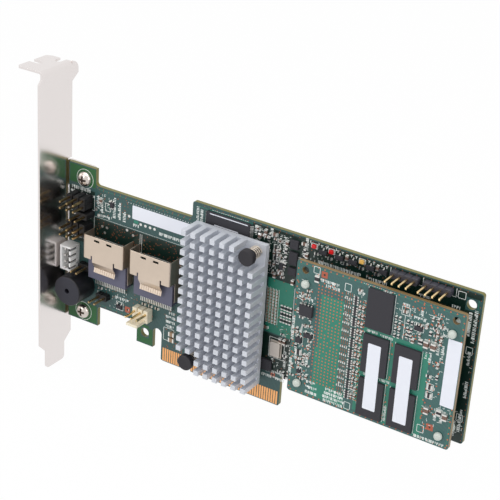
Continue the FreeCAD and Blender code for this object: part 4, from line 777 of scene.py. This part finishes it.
def makePrint():
    # masks, ink and frames are thin plates and rims off a face; vias and pads are short discs
    for name, (finishName, board, rows) in mask.items():
        thick = printed["mask"] + printed["maskStep"] * np.arange(len(rows))
        addPiece(name, *flats(rows, faces[board], thick), finishName, "board_mask")
    for name, (board, rows) in ink.items():
        bars = np.concatenate([dashes(rows), np.asarray(inkLines[name], float)])
        addPiece(name, *flats(bars, faces[board], printed["ink"]), "silkInk", "board_mask")
    for name, (board, rows) in frames.items():
        parts = []
        for x, z, wide, high in rows:
            outer, inner = [oblong(wide - less, high - less, corner, 2)
                            for less, corner in zip((0, printed["frameLine"]), printed["frameCorners"])]
            parts.append(rims([(x, z)], outer, inner, faces[board], printed["ink"]))
        if board == "main":
            outer, inner = [circle(radius, 48) for radius in printed["screwRing"]]
            parts.append(rims(screw["places"], outer, inner, faces[board], printed["ink"]))
        addPiece(name, *joined(*parts), "silkInk", "board_mask")
    for name, (board, places) in copper.items():
        face, size = faces[board], printed["viaRadius"][board]
        addPiece(name, *turned([(size, face - printed["via"]), (size, face)], places, 6),
                 "dimVia" if board == "main" else "copperVia", "gilding")
    for name, (board, radius, places) in rounds.items():
        face = faces[board]
        finishName, slotName = ("leadTin", "lead_tin") if name == "mainPads" else ("pinGold", "gilding")
        addPiece(name, *turned([(radius, face - printed["pad"]), (radius, face)], places, 14), finishName,
                 slotName)
    for board, rows in squares.items():
        centres, face, radius = np.array(rows)[:, :2], faces[board], printed["dotRadius"]
        addPiece(board + "Squares", *flats(rows, face, printed["square"]), "copperSquare", "gilding")
        addPiece(board + "Dots", *turned([(radius, face - printed["dot"]), (radius, face)], centres, 16),
                 "darkMask", "board_mask")
    outer, inner, thick = oblong(*cardEdge["outer"]), oblong(*cardEdge["inner"]), printed["edgeLine"]
    addPiece("cardEdgeLine", *rims([cardEdge["centre"]], outer, inner, faces["card"], thick),
             "brightMask", "board_mask")
    rows = line(58.0, 166.8, 67.5) + line(13.4, 55.0, 61.3) + upright(line(13.2, 68.0, 166.2))
    rows += line(15.0, 32.0, 13.5)
    addPiece("mainEdgeLine", *flats(rows, faces["main"], thick), "brightMask", "board_mask")


# the small chips' legs: spread and rise are shares of the chip's width and height
chipLegs = {"spread": 0.33, "rise": 0.55, "body": (-0.05, 0.25), "foot": [(0.35, 0.1), (0.75, 0.08)],
            "width": 0.42, "thick": 0.14, "edge": 0.15}


def makeSmallParts():
    # parts with end caps and printed outlines, then small chips with two legs above and one below
    for name, (board, finishName, height, rows) in small.items():
        slotName = "brown_ceramic" if finishName == "brownCeramic" else "resistor_glaze"
        body, ends = smallParts(rows, faces[board], height)
        addPiece(name, *body, finishName, slotName)
        addPiece(name + "Ends", *ends, "leadTin", "lead_tin")
        outlines = flats(pads(rows, printed["outlineWidth"]), faces[board], printed["outline"])
        addPiece(name + "Outlines", *outlines, "silkInk", "board_mask")
    for name, (board, height, rows) in chips.items():
        x, z, wide, high = np.array(rows).T
        face = faces[board]
        addPiece(name, *blocks((x - wide / 2, x + wide / 2), (face - height, face),
                               (z - high / 2, z + high / 2), chipLegs["edge"]),
                 "chipResin", "chip_resin")
        spread, rise = wide * chipLegs["spread"], height * chipLegs["rise"]
        across = np.concatenate([x - spread, x + spread, x])
        side = np.concatenate([z + high / 2, z + high / 2, z - high / 2])
        sign = np.repeat([1, 1, -1], len(x))
        path = [(out, rise) for out in chipLegs["body"]] + chipLegs["foot"]
        places = np.stack([across, np.full(len(across), face), side], -1)
        ways = np.stack([0 * sign, sign], -1)
        leads = bentStrips(path, places, ways, chipLegs["width"], chipLegs["thick"])
        addPiece(name + "Leads", *leads, "leadTin", "lead_tin")


transistorLegs = {"x": transistorX, "spread": 0.95, "lower": 64.8, "upper": 66.3, "width": 0.45,
                  "thick": 0.14, "path": [(-0.05, 0.5), (0.25, 0.5), (0.35, 0.1), (0.85, 0.08)]}
eightLeads = {"x": 108.9, "z": 46.5, "reach": 1.95, "pitch": 1.27, "width": 0.45, "thick": 0.16,
              "path": [(-0.05, 0.75), (0.35, 0.75), (0.5, 0.1), (1.05, 0.08)]}


def makeLegs():
    # transistors with two legs below and one above, and the eight-lead chip's rows of four
    one, x = transistorLegs, np.array(transistorLegs["x"])
    legs = [(x - one["spread"], one["lower"], -1), (x + one["spread"], one["lower"], -1),
            (x, one["upper"], 1)]
    places = np.concatenate([np.stack([at, 0 * at, 0 * at + z], -1) for at, z, way in legs])
    ways = np.concatenate([np.stack([0 * at, 0 * at + way], -1) for at, z, way in legs])
    strips = bentStrips(one["path"], places, ways, one["width"], one["thick"])
    addPiece("transistorLegs", *strips, "leadTin", "lead_tin")
    one, side = eightLeads, np.repeat([-1, 1], 4)
    x = one["x"] + one["pitch"] * (np.arange(8) % 4 - 1.5)
    places = np.stack([x, np.full(8, faces["card"]), one["z"] + side * one["reach"]], -1)
    ways = np.stack([0 * side, side], -1)
    strips = bentStrips(one["path"], places, ways, one["width"], one["thick"])
    addPiece("eightLeads", *strips, "leadTin", "lead_tin")


packs = {"x": (126.4, 127.4), "front": -8.0, "first": 20.3, "pitch": 4, "count": 10, "half": 1.6,
         "ends": 0.72, "pads": (-1.35, -0.45, 0.45, 1.35), "pad": 0.5,
         "columns": (122.9, 123.65, 124.4, 125.15), "rows": (19.6, 57.5, 3.05),
         "terminal": (0.34, 0.7), "height": 0.45, "runSize": (0.2, 1.2), "runShift": 1.5, "run": 0.02}


def makePacks():
    # resistor packs in a column with pads on both sides, then four columns of terminals and their runs
    z, face = packs["first"] + packs["pitch"] * np.arange(packs["count"]), faces["card"]
    addPiece("packBodies", *blocks(packs["x"], (packs["front"], face),
                                   (z - packs["half"], z + packs["half"])),
             "resistorGlaze", "resistor_glaze", "resistor_packs")
    middle, pad = sum(packs["x"]) / 2, packs["pad"]
    rows = [(middle + side * packs["ends"], at + d, pad, pad)
            for at in z for side in (-1, 1) for d in packs["pads"]]
    rows += [(x, at, *packs["terminal"]) for x in packs["columns"] for at in np.arange(*packs["rows"])]
    addPiece("packTerminals", *flats(rows, face, packs["height"]), "leadTin", "lead_tin")
    rows = [(x, at + packs["runShift"], *packs["runSize"])
            for x in packs["columns"] for at in np.arange(*packs["rows"])]
    addPiece("packRuns", *flats(rows, face, packs["run"]), "dimVia", "gilding")


# label plates by node: the face behind them, their tilt in radians and rows (x, z, width, height)
labels = {"thick": 0.09, "corner": 0.35, "stripes": [(71.6, 66.75, 15.7, 0.34), (70.7, 62.9, 9.9, 0.42)],
          "stripeFace": -1.2, "stripeThick": 0.03,
          "plates": {"memoryLabelsPaper": ("memory_labels", -8.67, 0.012, [(135.9, 30.5, 4.75, 25.1),
                                                                           (147.55, 29.8, 4.9, 25.1)]),
                     "cardLabelPaper": ("card_label", faces["card"], 0.0, [(163.15, 41.5, 4.85, 24.9)]),
                     "mainLabelPaper": ("main_label", 0.0, 0.0, [(44.2, 56.8, 29.5, 5.35)])}}


def makeLabels():
    # two strips on the flat chip, then plates with rounded corners, each turned by its tilt
    stripes = flats(labels["stripes"], labels["stripeFace"], labels["stripeThick"])
    addPiece("flashStripes", *stripes, "labelPaper", "label_paper")
    for name, (node, face, tilt, rows) in labels["plates"].items():
        turn = np.array([[math.cos(tilt), math.sin(tilt)], [-math.sin(tilt), math.cos(tilt)]])
        plates = []
        for x, z, wide, high in rows:
            rim = oblong(wide, high, labels["corner"], 4) @ turn + (x, z)
            plates.append(lofts([[np.insert(rim, 1, y, 1) for y in (face, face - labels["thick"])]]))
        addPiece(name, *joined(*plates), "labelPaper", "label_paper", node)


latchRibs = {"x": (21.1, 42.35), "z": 35.5, "half": 4.1, "count": 9, "width": 0.34, "thick": 0.12,
             "path": [(1.3, 6.28), (3.55, 5.2), (5.3, 5.62)]}


def makeLatchRibs():
    # nine strips side by side down each latch
    one = latchRibs
    across = np.linspace(-one["half"], one["half"], one["count"])
    ribs = [(x + d, 0, one["z"]) for x in one["x"] for d in across]
    strips = bentStrips(one["path"], ribs, [(0, -1)] * len(ribs), one["width"], one["thick"])
    addPiece("latchRibs", *strips, "shellTin", "shell_tin")


# pads beside the lamps, then parts that stand for CAD nodes: board, height off the face, slot, node
# and rows (x, z, width, height)
lampPads = [(x + side * 0.85, 66.7, 0.45, 1.3) for x in (105.5, 112.2, 123.8) for side in (-1, 1)]
larger = {
    "cardCap": ("card", 1.2, "brown_ceramic", "card_capacitors", [
        (153.6, 49.5, 1.6, 2.4), (156.2, 49.5, 1.6, 2.4), (156.65, 25.6, 1.6, 2.4),
        (163.35, 25.6, 1.6, 2.4)]),
    "mainCap": ("main", np.array([0.5] * 44 + [1.2] * 2), "tan_ceramic", "ceramic_capacitors",
                [(x, 32.6 + 1.25 * i, 0.5, 1.0) for x in (89.1, 90.3, 91.5, 92.7) for i in range(11)] +
                [(49.4, 10.5, 2.4, 1.6), (49.4, 12.9, 2.4, 1.6)]),
    "resistor": ("main", 0.5, "resistor_glaze", "chip_resistors", [
        (x, z, 0.8, 1.8) for x in (95.0, 96.2, 97.4, 98.6) for z in (34.8, 37.3, 39.8)] + [
        (102.1, 54.4 + 2.3 * i, 0.8, 1.8) for i in range(5)]),
}


def makeLargerParts():
    # pads beside the lamps, then bodies with an end cap at both ends
    addPiece("lampPads", *flats(lampPads, faces["main"], 0.25), "leadTin", "lead_tin")
    for name, (board, height, slotName, node, rows) in larger.items():
        body, ends = smallParts(rows, faces[board], height)
        addPiece(name + "Bodies", *body, nodeFinishes[node], slotName, node)
        addPiece(name + "Ends", *ends, "leadTin", "lead_tin")


pinPitch = 2.54
shroud = {"z": (26.45, 36.55), "x": (0.1, 0.85, 4.35, 5.1), "base": -1.2, "front": -5.5, "edge": 0.12,
          "end": 0.75, "firstPin": 27.69, "pins": 4, "slot": 0.5,
          "shadeX": (3.9, 4.3), "shadeFront": -5.1, "shade": 0.62}


def makeShroud():
    # base, closed wall and ends, and a slotted wall towards +x with a slot at each pin
    (z0, z1), (x0, x1, x2, x3), base, end = shroud["z"], shroud["x"], shroud["base"], shroud["end"]
    wall, edge = (shroud["front"], base), shroud["edge"]
    cuts = np.array([shroud["firstPin"] + pinPitch * i for i in range(shroud["pins"])])
    low, high = np.insert(cuts + shroud["slot"], 0, z0), np.append(cuts - shroud["slot"], z1)
    parts = [blocks((x0, x3), (base, 0.0), (z0, z1)), blocks((x0, x1), wall, (z0, z1), edge),
             blocks((x1, x2), wall, ([z0, z1 - end], [z0 + end, z1]), edge),
             blocks((x2, x3), wall, (low, high), edge)]
    addPiece("shroudedBody", *joined(*parts), "whitePlastic", "white_plastic", "wafer_connector")
    # dark plates of header plastic behind each slot: painted shade inside the slots
    shade = shroud["shade"]
    addPiece("shroudShade", *blocks(shroud["shadeX"], (shroud["shadeFront"], base),
                                    (cuts - shade, cuts + shade)),
             "headerPlastic", "white_plastic")


# solder at the pins' places (x, z) and vias, both on the back
solder = {"radius": 0.95, "height": 0.9, "reach": 0.75, "rings": 6, "viaRadius": 0.27, "viaThick": 0.025,
          "pins":
          [(x, z + pinPitch * i) for x in (3.9, 7.0, 10.0) for z in (54.33, 43.63) for i in (0, 1)] +
          [(8.4, 50.8), (10.94, 50.8)] +
          [(x + pinPitch * i, z) for x, z in ((7.6, 28.4), (16.3, 18.3)) for i in (0, 1)] +
          [(x + pinPitch * i, 66.6) for x in (136.5, 148.4) for i in range(4)] +
          [(2.6, 27.69 + pinPitch * i) for i in range(4)] +
          [(x, 18.4) for x in (33.85, 36.39, 38.93)]}


def makeSolder():
    # mound radius falls with height h behind the board: r = radius x (1 - h / height)^0.5
    h, rear = np.linspace(0, solder["reach"], solder["rings"]), layout["boardRear"]
    profile = np.stack([solder["radius"] * (1 - h / solder["height"]) ** 0.5, rear + h], -1)
    addPiece("solderMounds", *turned(profile, solder["pins"], 14), "leadTin", "lead_tin", smooth=40)
    places = np.concatenate([copper["mainCopper"][1][:20], scatter(220, 60.0, 164.0, 15.0, 66.0),
                             scatter(80, 14.0, 56.0, 14.0, 60.0)])
    disc = [(solder["viaRadius"], rear), (solder["viaRadius"], rear + solder["viaThick"])]
    addPiece("rearVias", *turned(disc, places, 6), "copperVia", "gilding")


makePrint()
makeSmallParts()
makeLegs()
makePacks()
makeLabels()
makeLatchRibs()
makeLargerParts()
makeShroud()
makeSolder()
print("print, copper, small parts and solder made")


# Camera, lights and floor
view = {"position": (0.25218, -0.38437, 0.27518), "lens": 102.798,
        "right": (0.84147741, 0.53681303, 0.06121719), "up": (-0.2822805, 0.34019608, 0.89698626),
        "back": (0.46068806, -0.77207409, 0.43779916)}
camera = place("camera", bpy.data.cameras.new("camera"))
axes = Matrix((view["right"], view["up"], view["back"])).transposed()
camera.matrix_world = Matrix.Translation(view["position"]) @ axes.to_4x4()
camera.data.lens = view["lens"]
camera.data.sensor_width = 36
camera.data.clip_start = 0.01
bpy.context.scene.camera = camera
bpy.context.scene.view_settings.view_transform = "Standard"

studio = {"floorZ": cadBounds[0][2], "floorSide": 6.0, "white": 1.0, "share": 0.98,
          "skyColour": (0.95, 0.97, 1.0, 1), "sky": 0.42,
          # each lamp: name, position, aim, side in metres, watts
          "lamps": (("overhead", (0.1, -0.15, 0.9), (0.02, 0, 0.02), 0.9, 4.8),
                    ("front", (-0.55, -0.85, 0.45), (0.02, 0, 0.03), 0.7, 4.2),
                    ("side", (0.95, -0.35, 0.35), (0.03, 0, 0.03), 0.6, 2.4))}


def largest(tree, values):
    # the largest of several outputs
    best = values[0]
    for value in values[1:]:
        best = reckon(tree, "MAXIMUM", best, value)
    return best


def whiteToCamera(material, level, share):
    # mirrors and glass see plain white, the camera a share of it over the lit floor and its shadow
    tree = material.node_tree
    paths, glow = addNode(tree, "LightPath").outputs, addNode(tree, "Emission", {"Strength": level})
    part = reckon(tree, "MULTIPLY", paths["Is Camera Ray"], share)
    rays = largest(tree, [paths["Is Glossy Ray"], paths["Is Transmission Ray"], part])
    mix = addNode(tree, "MixShader", {"Fac": rays, 1: tree.nodes["Principled BSDF"].outputs[0],
                                      2: glow.outputs[0]})
    feed(tree, tree.nodes["Material Output"], {"Surface": mix.outputs[0]})


def makeStudio():
    # a dim sky lights the scene while camera, mirrors and glass see white; three area lamps; a floor
    world = bpy.data.worlds.new("studio")
    bpy.context.scene.world = world
    world.use_nodes = True
    tree = world.node_tree
    sky, paths = tree.nodes["Background"], addNode(tree, "LightPath").outputs
    feed(tree, sky, {"Color": studio["skyColour"], "Strength": studio["sky"]})
    white = addNode(tree, "Background", {"Color": (1, 1, 1, 1), "Strength": studio["white"]})
    rays = largest(tree, [paths[kind] for kind in ("Is Camera Ray", "Is Glossy Ray", "Is Transmission Ray")])
    mix = addNode(tree, "MixShader", {"Fac": rays, 1: sky.outputs[0], 2: white.outputs[0]})
    feed(tree, tree.nodes["World Output"], {"Surface": mix.outputs[0]})
    for name, position, aim, size, power in studio["lamps"]:
        lamp = place(name, bpy.data.lights.new(name, "AREA"))
        lamp.data.size = size
        lamp.data.energy = power
        towards = np.array(aim) - np.array(position)
        lamp.matrix_world = Matrix.Translation(position) @ \
            Vector(towards.tolist()).to_track_quat("-Z", "Y").to_matrix().to_4x4()
    half, z = studio["floorSide"] / 2, studio["floorZ"]
    mesh = bpy.data.meshes.new("floor")
    mesh.from_pydata([(-half, -half, z), (half, -half, z), (half, half, z), (-half, half, z)], [],
                     [(0, 1, 2, 3)])
    floor = place("floor", mesh)
    paper = finish("floorPaper", (0.9, 0.9, 0.9, 1), 0.9, contrast=0.0, patches=0.0, bump=0.0)
    mesh.materials.append(paper)
    whiteToCamera(paper, studio["white"], studio["share"])


makeStudio()
print("camera, lights and floor set")
